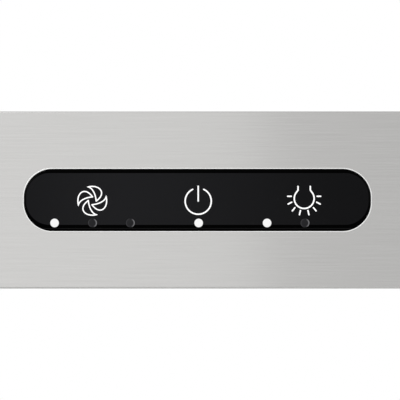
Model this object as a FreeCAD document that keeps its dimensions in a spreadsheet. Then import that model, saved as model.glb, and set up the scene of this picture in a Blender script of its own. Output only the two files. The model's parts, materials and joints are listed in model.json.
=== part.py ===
"""Wall-mounted chimney range hood: flat box canopy, touch control strip, two-part chimney.

Millimetres. +X is to the right, the front faces -Y and +Z is up. The wall is the plane y = 0.
The origin lies on the wall, midway between the two screw holes in the canopy's back.
"""
import FreeCAD, Part
import math
import os
from types import SimpleNamespace

import Sketcher

SIZES = {
    # Canopy: a flat box of folded sheet, open below
    "canopy_width": 760.0,
    "canopy_depth": 500.0,
    "lip_height": 56.0,
    "sheet": 1.0,
    "fold_radius": 0.6,
    "rim_return": 16.0,
    "air_ledge": 8.0,
    "wall_hole_spacing": 500.0,
    "wall_hole_radius": 3.0,
    # Pan: the recessed panel that carries the filters and lamps
    "pan_recess": 12.0,
    "pan_gap": 1.0,
    "side_margin": 56.0,
    "middle_bar": 26.0,
    "filter_setback": 112.0,
    "rear_margin": 83.0,
    # Baffle filters
    "filter_gap": 1.0,
    "swing_gap": 4.0,
    "filter_drop": 2.0,
    "filter_height": 20.0,
    "frame_flange": 10.0,
    "tab_width": 30.0,
    "tab_spacing": 180.0,
    "tab_reach": 10.0,
    "baffle_count": 9,
    "baffle_sheet": 0.8,
    "baffle_slot": 10.0,
    "baffle_height": 11.0,
    "baffle_bend": 3.0,
    "baffle_end_gap": 0.2,
    "pull_width": 70.0,
    "pull_strip": 8.0,
    "pull_drop": 8.0,
    "pull_sheet": 1.5,
    "pull_bend": 5.0,
    "clip_width": 14.0,
    "clip_spacing": 200.0,
    "clip_sheet": 0.5,
    "clip_reach": 4.0,
    "clip_height": 15.0,
    "clip_rest": 0.4,
    # Lamps
    "lamp_spacing": 400.0,
    "lamp_setback": 63.0,
    "lamp_hole": 30.0,
    "lamp_gap": 0.4,
    "lamp_neck": 2.0,
    "lamp_neck_height": 4.0,
    "lamp_flange": 6.0,
    "lamp_flange_height": 3.0,
    "lamp_round": 2.0,
    "lamp_lip": 2.0,
    "lamp_lens": 2.5,
    "lamp_fin": 3.0,
    "lamp_fin_depth": 5.0,
    "lamp_clip_width": 8.0,
    "lamp_clip_sheet": 0.6,
    "lamp_clip_foot": 5.0,
    # Control panel in the fascia
    "panel_inset": 130.0,
    "panel_length": 109.5,
    "panel_height": 19.5,
    "panel_end_flat": 1.5,
    "trim_width": 0.35,
    "trim_proud": 0.1,
    "trim_gap": 0.05,
    "panel_step": 0.2,
    "panel_proud": 0.9,
    "bevel_top": 1.0,
    "bevel_bottom": 1.65,
    "bevel_end": 0.4,
    "face_land": 0.2,
    "face_plate": 1.2,
    "panel_flange": 2.0,
    "panel_flange_plate": 1.5,
    "lens_radius": 1.42,
    "lens_drop": 7.25,
    "lens_proud": 0.15,
    "lens_tail": 3.0,
    "lens_shift": 0.4,
    "lens_pitch": 11.95,
    "group_pitch": 33.55,
    "chip": 2.0,
    "chip_height": 1.0,
    "board": 1.6,
    "housing_gap": 0.45,
    "housing_wall": 1.8,
    "housing_depth": 24.0,
    "housing_boss": 3.0,
    "ear_length": 12.0,
    "ear_height": 14.0,
    "ear_plate": 2.0,
    "stud_radius": 2.0,
    "stud_length": 8.0,
    "nut_height": 3.0,
    "nut_width": 7.0,
    "ribbon_width": 12.0,
    "ribbon_sheet": 0.8,
    # Power supply box
    "power_gap": 6.0,
    "power_rear": 70.0,
    "power_length": 120.0,
    "power_height": 28.0,
    "power_wall": 2.0,
    "power_post": 4.0,
    "power_post_radius": 3.0,
    "terminal_length": 30.0,
    "terminal_width": 12.0,
    "terminal_height": 11.0,
    # Motor box
    "seal_height": 3.0,
    "box_clearance": 12.0,
    "box_flange": 8.0,
    "box_sheet": 1.0,
    "hang_spacing": 200.0,
    "hang_radius": 4.0,
    "hang_drop": 20.0,
    "grommet_radius": 10.0,
    "grommet_bore": 5.0,
    "grommet_lip": 3.0,
    "grommet_inset": 30.0,
    # Blower: a double-inlet wheel in a spiral housing
    "wheel_radius": 66.0,
    "wheel_width": 120.0,
    "wheel_side_gap": 4.0,
    "wheel_plate": 2.0,
    "wheel_ring": 6.0,
    "blade_count": 32,
    "blade_depth": 12.0,
    "blade_sheet": 1.0,
    "tongue_gap": 6.0,
    "scroll_growth": 20.0,
    "scroll_clearance": 6.0,
    "outlet_depth": 100.0,
    "outlet_neck": 59.0,
    "outlet_flange": 15.0,
    "inlet_gap": 2.0,
    "inlet_lip": 1.0,
    "inlet_end_gap": 1.0,
    "shaft_radius": 4.0,
    "shaft_end": 6.0,
    "running_gap": 0.06,
    "hub_radius": 11.0,
    "hub_length": 18.0,
    "hub_flange": 20.0,
    "motor_gap": 5.0,
    "motor_radius": 42.0,
    "motor_length": 70.0,
    "motor_flange": 5.0,
    "motor_flange_plate": 3.0,
    "motor_shoulder": 6.0,
    "bearing_radius": 9.0,
    "bearing_length": 8.0,
    "arm_radius": 70.0,
    "arm_width": 14.0,
    "arm_plate": 2.0,
    "cushion_radius": 6.0,
    "cushion_height": 4.0,
    "capacitor_radius": 17.0,
    "capacitor_length": 60.0,
    "capacitor_front": 40.0,
    "capacitor_drop": 50.0,
    "strap": 1.0,
    "strap_gap": 0.1,
    "strap_height": 20.0,
    "strap_foot": 40.0,
    # Duct collar with its two backdraught flaps
    "collar_radius": 75.0,
    "collar_wall": 1.2,
    "collar_height": 60.0,
    "collar_flange": 10.0,
    "damper_height": 22.0,
    "damper_pin": 2.0,
    "damper_knuckle": 4.0,
    "damper_sheet": 1.0,
    "damper_gap": 0.8,
    "damper_ledge": 3.0,
    "damper_ledge_gap": 0.3,
    # Chimney
    "chimney_width": 300.0,
    "chimney_depth": 262.0,
    "chimney_return": 13.0,
    "slide_gap": 0.8,
    "lower_height": 440.0,
    "upper_height": 440.0,
    "chimney_lift": 260.0,
    "upper_return": 9.0,
    "vent_length": 70.0,
    "vent_height": 5.0,
    "vent_pitch": 11.0,
    "vent_count": 6,
    "vent_drop": 52.0,
    "bracket_height": 25.0,
    "bracket_drop": 5.0,
    "bracket_sheet": 1.5,
    "bracket_ear": 40.0,
    "bracket_spacing": 180.0,
    "bracket_hole": 3.0,
    # Screws
    "screw_radius": 2.0,
    "screw_gap": 0.25,
    "screw_head": 3.6,
    "screw_head_height": 2.2,
    "screw_tail": 3.0,
}
ARM_COUNT = 3
ARM_TURN = 30
BLADE_LEAD = 9
BLADE_BOW = 0.42
BOX_SCREW_SHARES = (0.15, 0.5, 0.85)
COLLAR_SCREW_SHARE = 0.62
POST_CLEAR = 0.75


class Size:
    """A size worked out from the sheet: the formula that binds it and its value now."""

    def __init__(self, formula, value):
        self.formula = formula
        self.value = value

    def joined(self, sign, other, value):
        return Size(f"({self.formula} {sign} {other.formula})", value)

    def __add__(self, other):
        other = as_size(other)
        return self.joined("+", other, self.value + other.value)

    def __sub__(self, other):
        other = as_size(other)
        return self.joined("-", other, self.value - other.value)

    def __mul__(self, other):
        other = as_size(other)
        return self.joined("*", other, self.value * other.value)

    def __truediv__(self, other):
        other = as_size(other)
        return self.joined("/", other, self.value / other.value)

    def __neg__(self):
        return as_size(0) - self

    def __radd__(self, other):
        return as_size(other) + self

    def __rsub__(self, other):
        return as_size(other) - self

    def __rmul__(self, other):
        return as_size(other) * self

    def root(self):
        return Size(f"sqrt({self.formula})", math.sqrt(self.value))


def as_size(number):
    return number if isinstance(number, Size) else Size(f"({number})", number)


doc = FreeCAD.newDocument("RangeHood")
sheet = doc.addObject("Spreadsheet::Sheet", "Dims")
for row, (name, number) in enumerate(SIZES.items(), start=1):
    sheet.set(f"A{row}", name)
    sheet.set(f"B{row}", str(number))
    sheet.setAlias(f"B{row}", name)
doc.recompute()
dim = SimpleNamespace(**{name: Size(f"Dims.{name}", number) for name, number in SIZES.items()})
nodes = []


# Places that several pieces share

half_width = dim.canopy_width / 2
rim = -dim.lip_height / 2
canopy_top = dim.lip_height / 2
front = -dim.canopy_depth
fascia_inner = dim.canopy_depth - dim.sheet
pan_under = rim + dim.pan_recess
pan_top = pan_under + dim.sheet

opening_inner = dim.middle_bar / 2
opening_outer = half_width - dim.sheet - dim.side_margin
opening_front = front + dim.filter_setback
opening_rear = -dim.rear_margin
filter_centre = (opening_inner + opening_outer) / 2
filter_half = (opening_outer - opening_inner) / 2 - dim.filter_gap
filter_rear = -dim.swing_gap
filter_front = opening_front + dim.filter_gap - opening_rear
filter_length = filter_rear - filter_front
filter_under = -dim.sheet - dim.filter_drop
filter_top = filter_under + dim.filter_height

lower_half = dim.chimney_width / 2
upper_half = lower_half - dim.sheet - dim.slide_gap
upper_front = -dim.chimney_depth + dim.sheet + dim.slide_gap
upper_back = -dim.sheet - dim.slide_gap
upper_bottom = canopy_top + dim.chimney_lift
upper_top = upper_bottom + dim.upper_height

box_half = upper_half - dim.sheet - dim.box_clearance
box_depth = dim.chimney_depth - 2 * dim.sheet - dim.slide_gap - dim.box_clearance
box_bottom = canopy_top + dim.seal_height

tongue_radius = dim.wheel_radius + dim.tongue_gap
scroll_radius = tongue_radius + dim.scroll_growth / 2
axis_y = -dim.box_sheet - dim.scroll_clearance - dim.sheet - scroll_radius
axis_z = box_bottom + dim.scroll_clearance + dim.sheet + tongue_radius + dim.scroll_growth
box_roof = axis_z + tongue_radius + dim.outlet_neck
box_top = box_roof + dim.box_sheet
scroll_half = dim.wheel_width / 2 + dim.wheel_side_gap
scroll_outer = scroll_half + dim.sheet
duct_y = axis_y - dim.outlet_depth / 2
screw_hole = dim.screw_radius + dim.screw_gap

collar_half = dim.collar_radius + dim.collar_flange
collar_screw_x = scroll_outer + dim.outlet_flange / 2
collar_screw_y = dim.collar_radius * COLLAR_SCREW_SHARE
collar_screws_at = [(across * collar_screw_x, duct_y + along * collar_screw_y)
                    for across in (-1, 1) for along in (-1, 1)]
box_screws_at = [(across * (box_half + dim.box_flange / 2), -box_depth * share)
                 for across in (-1, 1) for share in BOX_SCREW_SHARES]

panel_x = half_width - dim.panel_inset
panel_z = as_size(0)
cutout_grow = 2 * (dim.trim_width + 2 * dim.trim_gap)
face_length = dim.panel_length - 2 * dim.bevel_end
face_height = dim.panel_height - dim.bevel_top - dim.bevel_bottom
face_z = panel_z + (dim.bevel_bottom - dim.bevel_top) / 2
panel_front = dim.canopy_depth + dim.panel_proud
lens_z = panel_z - dim.lens_drop
lens_middle = panel_x + dim.lens_shift
fan_lenses_at = [lens_middle - dim.group_pitch + step * dim.lens_pitch for step in (-1, 0, 1)]
power_lenses_at = [lens_middle]
light_lenses_at = [lens_middle + dim.group_pitch + step * dim.lens_pitch for step in (-1, 0)]
lens_back = fascia_inner - dim.panel_flange_plate - dim.lens_tail
board_front = lens_back - dim.chip_height
housing_half = dim.panel_length / 2 + dim.panel_flange + dim.housing_gap + dim.housing_wall
housing_rise = dim.panel_height / 2 + dim.panel_flange + dim.housing_gap + dim.housing_wall
housing_back = fascia_inner - dim.housing_depth
studs_at = [panel_x + side * (housing_half + dim.ear_length / 2) for side in (-1, 1)]

power_x = half_width - dim.sheet - dim.side_margin / 2
power_half = dim.side_margin / 2 - dim.power_gap
power_front = -dim.power_rear - dim.power_length

motor_start = dim.wheel_plate / 2 + dim.motor_gap
motor_end = motor_start + dim.motor_length
arm_x = scroll_outer + dim.cushion_height
arm_turns = [math.radians(ARM_TURN + step * 360 / ARM_COUNT) for step in range(ARM_COUNT)]
arm_spots = [(dim.arm_radius * math.cos(turn), dim.arm_radius * math.sin(turn)) for turn in arm_turns]


# Outlines: a corner (x, y) runs straight to the next one, a corner with a centre goes round it

def rectangle(left, right, low, high):
    return [(left, low), (right, low), (right, high), (left, high)]


def circle(across, up, radius):
    return SimpleNamespace(across=as_size(across), up=as_size(up), radius=radius)


def pill(across, up, length, height):
    """A bar with half-round ends."""
    reach = (length - height) / 2
    low, high = up - height / 2, up + height / 2
    left, right = across - reach, across + reach
    return [(left, low), (right, low, right, up), (right, high), (left, high, left, up)]


def rounded(left, right, low, high, bend):
    """A rectangle with quarter-round corners."""
    return [(left + bend, low), (right - bend, low, right - bend, low + bend),
            (right, low + bend), (right, high - bend, right - bend, high - bend),
            (right - bend, high), (left + bend, high, left + bend, high - bend),
            (left, high - bend), (left, low + bend, left + bend, low + bend)]


def panel_outline(up, length, height):
    """The panel's bar: nearly half-round ends with a short straight between their corners."""
    bend = (height - dim.panel_end_flat) / 2
    return rounded(panel_x - length / 2, panel_x + length / 2, up - height / 2, up + height / 2, bend)


def hexagon(across, up, width):
    radius = width / math.sqrt(3)
    turns = [math.radians(60 * step) for step in range(6)]
    return [(across + radius * math.cos(turn), up + radius * math.sin(turn)) for turn in turns]


def channel(across, base, width, height, wall, bend, upward=1):
    """A folded channel: a web with two legs, standing up from its base or hanging from it."""
    left, right = across - width / 2, across + width / 2
    tip, turn, skin = base + upward * height, base + upward * bend, base + upward * wall
    outside, inside = upward < 0, upward > 0
    return [(left, tip), (left, turn, left + bend, turn, outside),
            (left + bend, base), (right - bend, base, right - bend, turn, outside),
            (right, turn), (right, tip),
            (right - wall, tip), (right - wall, turn, right - bend, turn, inside),
            (right - bend, skin), (left + bend, skin, left + bend, turn, inside),
            (left + wall, turn), (left + wall, tip)]


def chimney_section(half, front_y, back_y, back_return):
    """A U of sheet round the front and sides, with narrow returns along the wall."""
    skin, fold = dim.sheet, dim.fold_radius
    return [(-half, back_y), (-half, front_y + fold, -half + fold, front_y + fold),
            (-half + fold, front_y), (half - fold, front_y, half - fold, front_y + fold),
            (half, front_y + fold), (half, back_y),
            (half - back_return, back_y), (half - back_return, back_y - skin),
            (half - skin, back_y - skin), (half - skin, front_y + skin),
            (skin - half, front_y + skin), (skin - half, back_y - skin),
            (back_return - half, back_y - skin), (back_return - half, back_y)]


def scroll_outline(grow):
    """The spiral casing: front wall, quarter round below, half round behind, wall at the tongue."""
    bottom = axis_z - tongue_radius - dim.scroll_growth
    quarter_z = bottom + dim.outlet_depth
    half_z = axis_z - dim.scroll_growth / 2
    radius = scroll_radius + grow
    tongue_z = half_z + (radius * radius - grow * grow).root()
    wall_y = axis_y - dim.outlet_depth - grow
    return [(wall_y, box_roof), (wall_y, quarter_z, axis_y, quarter_z),
            (axis_y, bottom - grow, axis_y, half_z), (axis_y + grow, tongue_z),
            (axis_y + grow, box_roof)]


# Sketches and features

PLANES = {"top": "XY_Plane", "front": "XZ_Plane", "side": "YZ_Plane"}


def fix(sketch, kind, shape, end, size):
    """Tie one coordinate of a sketch point to a size."""
    size = as_size(size)
    rule = sketch.addConstraint(Sketcher.Constraint(kind, shape, end, size.value))
    sketch.setExpression(f"Constraints[{rule}]", size.formula)


def draw_circle(sketch, ring):
    middle = FreeCAD.Vector(ring.across.value, ring.up.value, 0)
    shape = sketch.addGeometry(Part.Circle(middle, FreeCAD.Vector(0, 0, 1), ring.radius.value))
    fix(sketch, "DistanceX", shape, 3, ring.across)
    fix(sketch, "DistanceY", shape, 3, ring.up)
    rule = sketch.addConstraint(Sketcher.Constraint("Radius", shape, ring.radius.value))
    sketch.setExpression(f"Constraints[{rule}]", ring.radius.formula)


def flat_point(across, up):
    return FreeCAD.Vector(as_size(across).value, as_size(up).value, 0)


def arc_between(start, end, middle):
    """The anticlockwise arc from start to end round the middle."""
    first = math.atan2(start.y - middle.y, start.x - middle.x)
    last = math.atan2(end.y - middle.y, end.x - middle.x)
    if last <= first:
        last += 2 * math.pi
    round_edge = Part.Circle(middle, FreeCAD.Vector(0, 0, 1), (start - middle).Length)
    return Part.ArcOfCircle(round_edge, first, last)


def draw_loop(sketch, corners):
    shapes, starts, ends = [], [], []
    following = corners[1:] + corners[:1]
    for corner, after in zip(corners, following):
        start, end = flat_point(*corner[:2]), flat_point(*after[:2])
        clockwise = len(corner) == 5 and corner[4]
        if len(corner) == 2:
            shapes.append(sketch.addGeometry(Part.LineSegment(start, end)))
        elif clockwise:
            shapes.append(sketch.addGeometry(arc_between(end, start, flat_point(*corner[2:4]))))
        else:
            shapes.append(sketch.addGeometry(arc_between(start, end, flat_point(*corner[2:4]))))
        starts.append(2 if clockwise else 1)
        ends.append(1 if clockwise else 2)
    for place, corner in enumerate(corners):
        after = (place + 1) % len(corners)
        join = (shapes[place], ends[place], shapes[after], starts[after])
        sketch.addConstraint(Sketcher.Constraint("Coincident", *join))
        fix(sketch, "DistanceX", shapes[place], starts[place], corner[0])
        fix(sketch, "DistanceY", shapes[place], starts[place], corner[1])
        if len(corner) > 2:
            chord = flat_point(*corners[after][:2]) - flat_point(*corner[:2])
            level = abs(chord.x) >= abs(chord.y)
            kind, size = ("DistanceY", corner[3]) if level else ("DistanceX", corner[2])
            fix(sketch, kind, shapes[place], 3, size)


def sketch_on(body, plane, at, loops):
    """Outlines on one of the body's planes: "at" is up, forward or to the right of its origin."""
    sketch = body.newObject("Sketcher::SketchObject", "Outline")
    support = next(face for face in body.Origin.OriginFeatures if face.Role == PLANES[plane])
    sketch.AttachmentSupport = (support, [""])
    sketch.MapMode = "FlatFace"
    sketch.setExpression("AttachmentOffset.Base.z", as_size(at).formula)
    for loop in loops:
        if isinstance(loop, list):
            draw_loop(sketch, loop)
        else:
            draw_circle(sketch, loop)
    return sketch


def new_body(label):
    body = doc.addObject("PartDesign::Body", label)
    body.Label = label
    nodes.append(body)
    return body


def place(body, across, along, up):
    for axis, size in zip("xyz", (across, along, up)):
        body.setExpression(f"Placement.Base.{axis}", as_size(size).formula)


def pad(body, plane, at, loops, length):
    feature = body.newObject("PartDesign::Pad", "Pad")
    feature.Profile = sketch_on(body, plane, at, loops)
    feature.setExpression("Length", length.formula)
    doc.recompute()
    return feature


def pocket(body, plane, at, loops, length):
    """A cut that runs the way a pad on the same plane would grow."""
    before = body.Shape.Volume
    feature = body.newObject("PartDesign::Pocket", "Pocket")
    feature.Profile = sketch_on(body, plane, at, loops)
    feature.Reversed = True
    feature.setExpression("Length", length.formula)
    doc.recompute()
    if not body.Shape.Volume < before:
        raise RuntimeError(f"a pocket of {body.Label} cuts nothing")
    return feature


def turned(body, plane, axis, loops):
    feature = body.newObject("PartDesign::Revolution", "Turned")
    feature.Profile = sketch_on(body, plane, 0, loops)
    feature.ReferenceAxis = (feature.Profile[0], [axis])
    feature.Angle = 360
    doc.recompute()
    return feature


def row_of(body, feature, axis, length, count):
    """Repeat a feature evenly over a length, along an axis of its own sketch."""
    pattern = body.newObject("PartDesign::LinearPattern", "Row")
    pattern.Originals = [feature]
    pattern.Direction = (feature.Profile[0], [axis])
    pattern.setExpression("Length", length.formula)
    pattern.setExpression("Occurrences", as_size(count).formula)
    body.Tip = pattern
    doc.recompute()
    return pattern


def ring_of(body, feature, count):
    """Repeat a feature evenly round the normal of its own sketch."""
    pattern = body.newObject("PartDesign::PolarPattern", "Ring")
    pattern.Originals = [feature]
    pattern.Axis = (feature.Profile[0], ["N_Axis"])
    pattern.Angle = 360
    pattern.setExpression("Occurrences", count.formula)
    body.Tip = pattern
    doc.recompute()
    return pattern


def round_edges(body, chosen, radius):
    """Round the straight edges whose middle point is chosen."""
    base = body.Tip
    names = [f"Edge{number}" for number, edge in enumerate(base.Shape.Edges, start=1)
             if chosen(edge.valueAt((edge.FirstParameter + edge.LastParameter) / 2))]
    feature = body.newObject("PartDesign::Fillet", "Round")
    feature.Base = (base, names)
    feature.setExpression("Radius", radius.formula)
    doc.recompute()
    return feature


def add_screws(body, plane, spots, seat, length, outward=True):
    """Pan-head screws whose heads sit on one level, pointing along the plane's normal or against it."""
    shanks = [circle(across, up, dim.screw_radius) for across, up in spots]
    heads = [circle(across, up, dim.screw_head) for across, up in spots]
    pad(body, plane, seat - length if outward else seat, shanks, length)
    pad(body, plane, seat if outward else seat - dim.screw_head_height, heads, dim.screw_head_height)


def holes(spots, radius):
    return [circle(across, up, radius) for across, up in spots]


# Canopy and pan

def make_canopy():
    body = new_body("canopy_shell")
    skin = dim.sheet
    pad(body, "top", rim, [rectangle(-half_width, half_width, front, 0)], dim.lip_height)

    def outer_edge(point):
        on_side = abs(abs(point.x) - half_width.value) < 0.001
        on_front = abs(point.y - front.value) < 0.001
        on_level = abs(abs(point.z) - canopy_top.value) < 0.001
        return (on_side + on_front + on_level) == 2

    round_edges(body, outer_edge, dim.fold_radius)
    inside = rectangle(skin - half_width, half_width - skin, front + skin, -skin)
    pocket(body, "top", rim + skin, [inside], dim.lip_height - 2 * skin)
    edge = skin + dim.rim_return
    pocket(body, "top", rim, [rectangle(edge - half_width, half_width - edge, front + edge, -edge)], skin)
    ledge = dim.box_sheet + dim.air_ledge
    air = rectangle(ledge - box_half, box_half - ledge, ledge - box_depth, -ledge)
    pocket(body, "top", canopy_top - skin, [air, *holes(box_screws_at, screw_hole)], skin)
    cutout = panel_outline(panel_z, dim.panel_length + cutout_grow, dim.panel_height + cutout_grow)
    pocket(body, "front", fascia_inner, [cutout], skin)
    wall_holes = [(side * dim.wall_hole_spacing / 2, 0) for side in (-1, 1)]
    pocket(body, "front", 0, holes(wall_holes, dim.wall_hole_radius), skin)
    studs = [circle(across, panel_z, dim.stud_radius) for across in studs_at]
    pad(body, "front", fascia_inner - dim.stud_length, studs, dim.stud_length)


def make_pan():
    """An inverted tray whose skirt stands on the canopy's inturned rim."""
    body = new_body("filter_pan")
    gap = dim.sheet + dim.pan_gap
    skin = dim.sheet
    foot = rim + skin
    pad(body, "top", foot, [rectangle(gap - half_width, half_width - gap, front + gap, -gap)], pan_top - foot)
    inner = gap + skin
    hollow = rectangle(inner - half_width, half_width - inner, front + inner, -inner)
    pocket(body, "top", foot, [hollow], pan_under - foot)
    filters = [rectangle(opening_inner, opening_outer, opening_front, opening_rear),
               rectangle(-opening_outer, -opening_inner, opening_front, opening_rear)]
    lamps = [circle(side * dim.lamp_spacing / 2, front + dim.lamp_setback, dim.lamp_hole) for side in (-1, 1)]
    pocket(body, "top", pan_under, filters + lamps, skin)


# Baffle filters, each in its own frame on the edge that it swings about

def make_filter(side_name, side):
    def filter_body(piece):
        body = new_body(f"{side_name}_filter_{piece}")
        place(body, side * filter_centre, opening_rear, pan_top)
        return body

    make_filter_frame(filter_body("frame"))
    make_baffles(filter_body("baffles"))
    make_pull(filter_body("pull"))
    make_filter_clips(filter_body("clips"))


def make_filter_frame(body):
    skin = dim.sheet

    def inset(edge):
        return rectangle(edge - filter_half, filter_half - edge, filter_front + edge, filter_rear - edge)

    pad(body, "top", filter_under, [inset(as_size(0))], dim.filter_height)
    pocket(body, "top", filter_under + skin, [inset(skin)], dim.filter_height - 2 * skin)
    pocket(body, "top", filter_under, [inset(dim.frame_flange)], dim.filter_height)
    tabs = [rectangle(side * dim.tab_spacing / 2 - dim.tab_width / 2,
                      side * dim.tab_spacing / 2 + dim.tab_width / 2,
                      filter_rear - skin, dim.tab_reach) for side in (-1, 1)]
    pad(body, "top", 0, tabs, skin)


def make_baffles(body):
    """Two staggered rows of channels, so that the air turns twice between them."""
    skin = dim.sheet
    pitch = 2 * (filter_half - skin) / dim.baffle_count
    width = pitch - dim.baffle_slot
    start = dim.swing_gap + skin + dim.baffle_end_gap
    length = filter_length - 2 * (skin + dim.baffle_end_gap)
    first = skin - filter_half + pitch / 2
    section = (width, dim.baffle_height, dim.baffle_sheet, dim.baffle_bend)
    lower = pad(body, "front", start, [channel(first, filter_under + skin, *section)], length)
    row_of(body, lower, "H_Axis", pitch * (dim.baffle_count - 1), dim.baffle_count)
    upper = pad(body, "front", start, [channel(first + pitch / 2, filter_top - skin, *section, -1)], length)
    row_of(body, upper, "H_Axis", pitch * (dim.baffle_count - 2), dim.baffle_count - 1)


def make_pull(body):
    """A low bail under the front flange."""
    spare = (dim.frame_flange - dim.pull_strip) / 2
    loop = channel(as_size(0), filter_under - dim.pull_drop, dim.pull_width, dim.pull_drop,
                   dim.pull_sheet, dim.pull_bend)
    pad(body, "front", -filter_front - spare - dim.pull_strip, [loop], dim.pull_strip)


def make_filter_clips(body):
    """Bent leaves on the front wall, whose noses lie over the edge of the pan."""
    leaf, reach, knee = dim.clip_sheet, dim.clip_reach, dim.clip_height / 3
    face = filter_front
    outline = [(face, dim.clip_height), (face - leaf, dim.clip_height), (face - leaf, 2 * knee),
               (face - reach, knee), (face - 2 * leaf, dim.clip_rest), (face - leaf, dim.clip_rest),
               (face - reach + 2 * leaf, knee), (face, 2 * knee - leaf)]
    for side in (-1, 1):
        start = side * dim.clip_spacing / 2 - dim.clip_width / 2
        pad(body, "side", start, [outline[::-1]], dim.clip_width)


# Lamps, in pairs

neck_outer = dim.lamp_hole - dim.lamp_gap
neck_inner = neck_outer - dim.lamp_neck
lens_edge = neck_inner - dim.lamp_gap / 2
lens_seat = -dim.lamp_flange_height / 2
lens_top = lens_seat + dim.lamp_lens


def lamp_pair(label, profile):
    body = new_body(label)
    place(body, -dim.lamp_spacing / 2, front + dim.lamp_setback, pan_under)
    row_of(body, turned(body, "front", "V_Axis", [profile]), "H_Axis", dim.lamp_spacing, 2)


def make_lamps():
    edge = dim.lamp_hole + dim.lamp_flange
    bend = dim.lamp_round
    low = -dim.lamp_flange_height
    window = neck_inner - dim.lamp_lip
    lamp_pair("lamp_bezels", [(window, low), (edge - bend, low, edge - bend, low + bend), (edge, low + bend),
                              (edge, 0), (neck_outer, 0), (neck_outer, dim.lamp_neck_height),
                              (neck_inner, dim.lamp_neck_height), (neck_inner, lens_seat),
                              (window, lens_seat)])
    lamp_pair("lamp_lenses", rectangle(as_size(0), lens_edge, lens_seat, lens_top))
    fin, root = dim.lamp_fin, neck_outer - dim.lamp_gap - dim.lamp_fin_depth
    rib = neck_outer - dim.lamp_gap
    base = dim.lamp_neck_height
    body_outline = [(0, lens_top), (lens_edge, lens_top), (lens_edge, base)]
    for step in range(3):
        low = base + 2 * step * fin
        body_outline += [(rib, low), (rib, low + fin), (root, low + fin), (root, low + 2 * fin)]
    top = base + 6 * fin
    body_outline += [(rib, top), (rib, top + fin), (root / 2, top + fin), (root / 2, top + 2 * fin),
                     (0, top + 2 * fin)]
    lamp_pair("lamp_bodies", body_outline)


def make_lamp_clips():
    """Spring legs that press down on the pan, two to a lamp."""
    body = new_body("lamp_clips")
    wall = neck_outer - dim.lamp_gap
    leaf, toe = dim.lamp_clip_sheet, dim.lamp_clip_foot
    high = pan_under + dim.lamp_neck_height + 3 * dim.lamp_fin
    heel = dim.lamp_hole + 2 * toe
    legs = []
    for lamp in (-1, 1):
        for side in (-1, 1):
            leg = [(wall, high - leaf), (heel - toe, pan_top), (heel, pan_top), (heel, pan_top + leaf),
                   (heel - toe + leaf, pan_top + leaf), (wall, high + leaf)]
            middle = lamp * dim.lamp_spacing / 2
            legs.append([(middle + side * out, up) for out, up in leg][::side])
    start = dim.canopy_depth - dim.lamp_setback - dim.lamp_clip_width / 2
    pad(body, "front", start, legs, dim.lamp_clip_width)


# Control panel

def lens_holes(spots):
    return [circle(across, lens_z, dim.lens_radius + dim.trim_gap) for across in spots]


def make_panel():
    """A bevelled black frame through the fascia, with a smoked touch plate let into it."""
    all_lenses = fan_lenses_at + power_lenses_at + light_lenses_at

    trim = new_body("panel_trim_ring")
    hole_grow, ring_grow = 2 * dim.trim_gap, 2 * (dim.trim_gap + dim.trim_width)
    ring = [panel_outline(panel_z, dim.panel_length + ring_grow, dim.panel_height + ring_grow),
            panel_outline(panel_z, dim.panel_length + hole_grow, dim.panel_height + hole_grow)]
    pad(trim, "front", fascia_inner, ring, dim.sheet + dim.trim_proud)

    bezel = new_body("panel_bezel")
    outline = panel_outline(panel_z, dim.panel_length, dim.panel_height)
    flange = panel_outline(panel_z, dim.panel_length + 2 * dim.panel_flange,
                           dim.panel_height + 2 * dim.panel_flange)
    pad(bezel, "front", fascia_inner - dim.panel_flange_plate, [flange], dim.panel_flange_plate)
    pad(bezel, "front", fascia_inner, [outline], dim.sheet + dim.panel_step)
    slope = bezel.newObject("PartDesign::AdditiveLoft", "Bevel")
    slope.Profile = sketch_on(bezel, "front", dim.canopy_depth + dim.panel_step, [outline])
    face_edge = panel_outline(face_z, face_length, face_height)
    slope.Sections = [sketch_on(bezel, "front", panel_front, [face_edge])]
    slope.Ruled = True
    doc.recompute()
    seat_grow = -2 * dim.face_land
    seat = panel_outline(face_z, face_length + seat_grow, face_height + seat_grow)
    pocket(bezel, "front", panel_front - dim.face_plate, [seat], dim.face_plate)
    through = panel_front - fascia_inner + dim.panel_flange_plate
    pocket(bezel, "front", fascia_inner - dim.panel_flange_plate, lens_holes(all_lenses), through)

    face = new_body("touch_face")
    plate_grow = seat_grow - 2 * dim.trim_gap
    plate = panel_outline(face_z, face_length + plate_grow, face_height + plate_grow)
    pad(face, "front", panel_front - dim.face_plate, [plate], dim.face_plate)
    pocket(face, "front", panel_front - dim.face_plate, lens_holes(all_lenses), dim.face_plate)

    length = panel_front + dim.lens_proud - lens_back
    for label, spots in (("fan_speed_lenses", fan_lenses_at), ("power_lens", power_lenses_at),
                         ("light_level_lenses", light_lenses_at)):
        lenses = new_body(label)
        pad(lenses, "front", lens_back, [circle(across, lens_z, dim.lens_radius) for across in spots], length)

    chips = new_body("indicator_leds")
    half = dim.chip / 2
    dies = [rectangle(across - half, across + half, lens_z - half, lens_z + half) for across in all_lenses]
    pad(chips, "front", board_front, dies, dim.chip_height)


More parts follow.
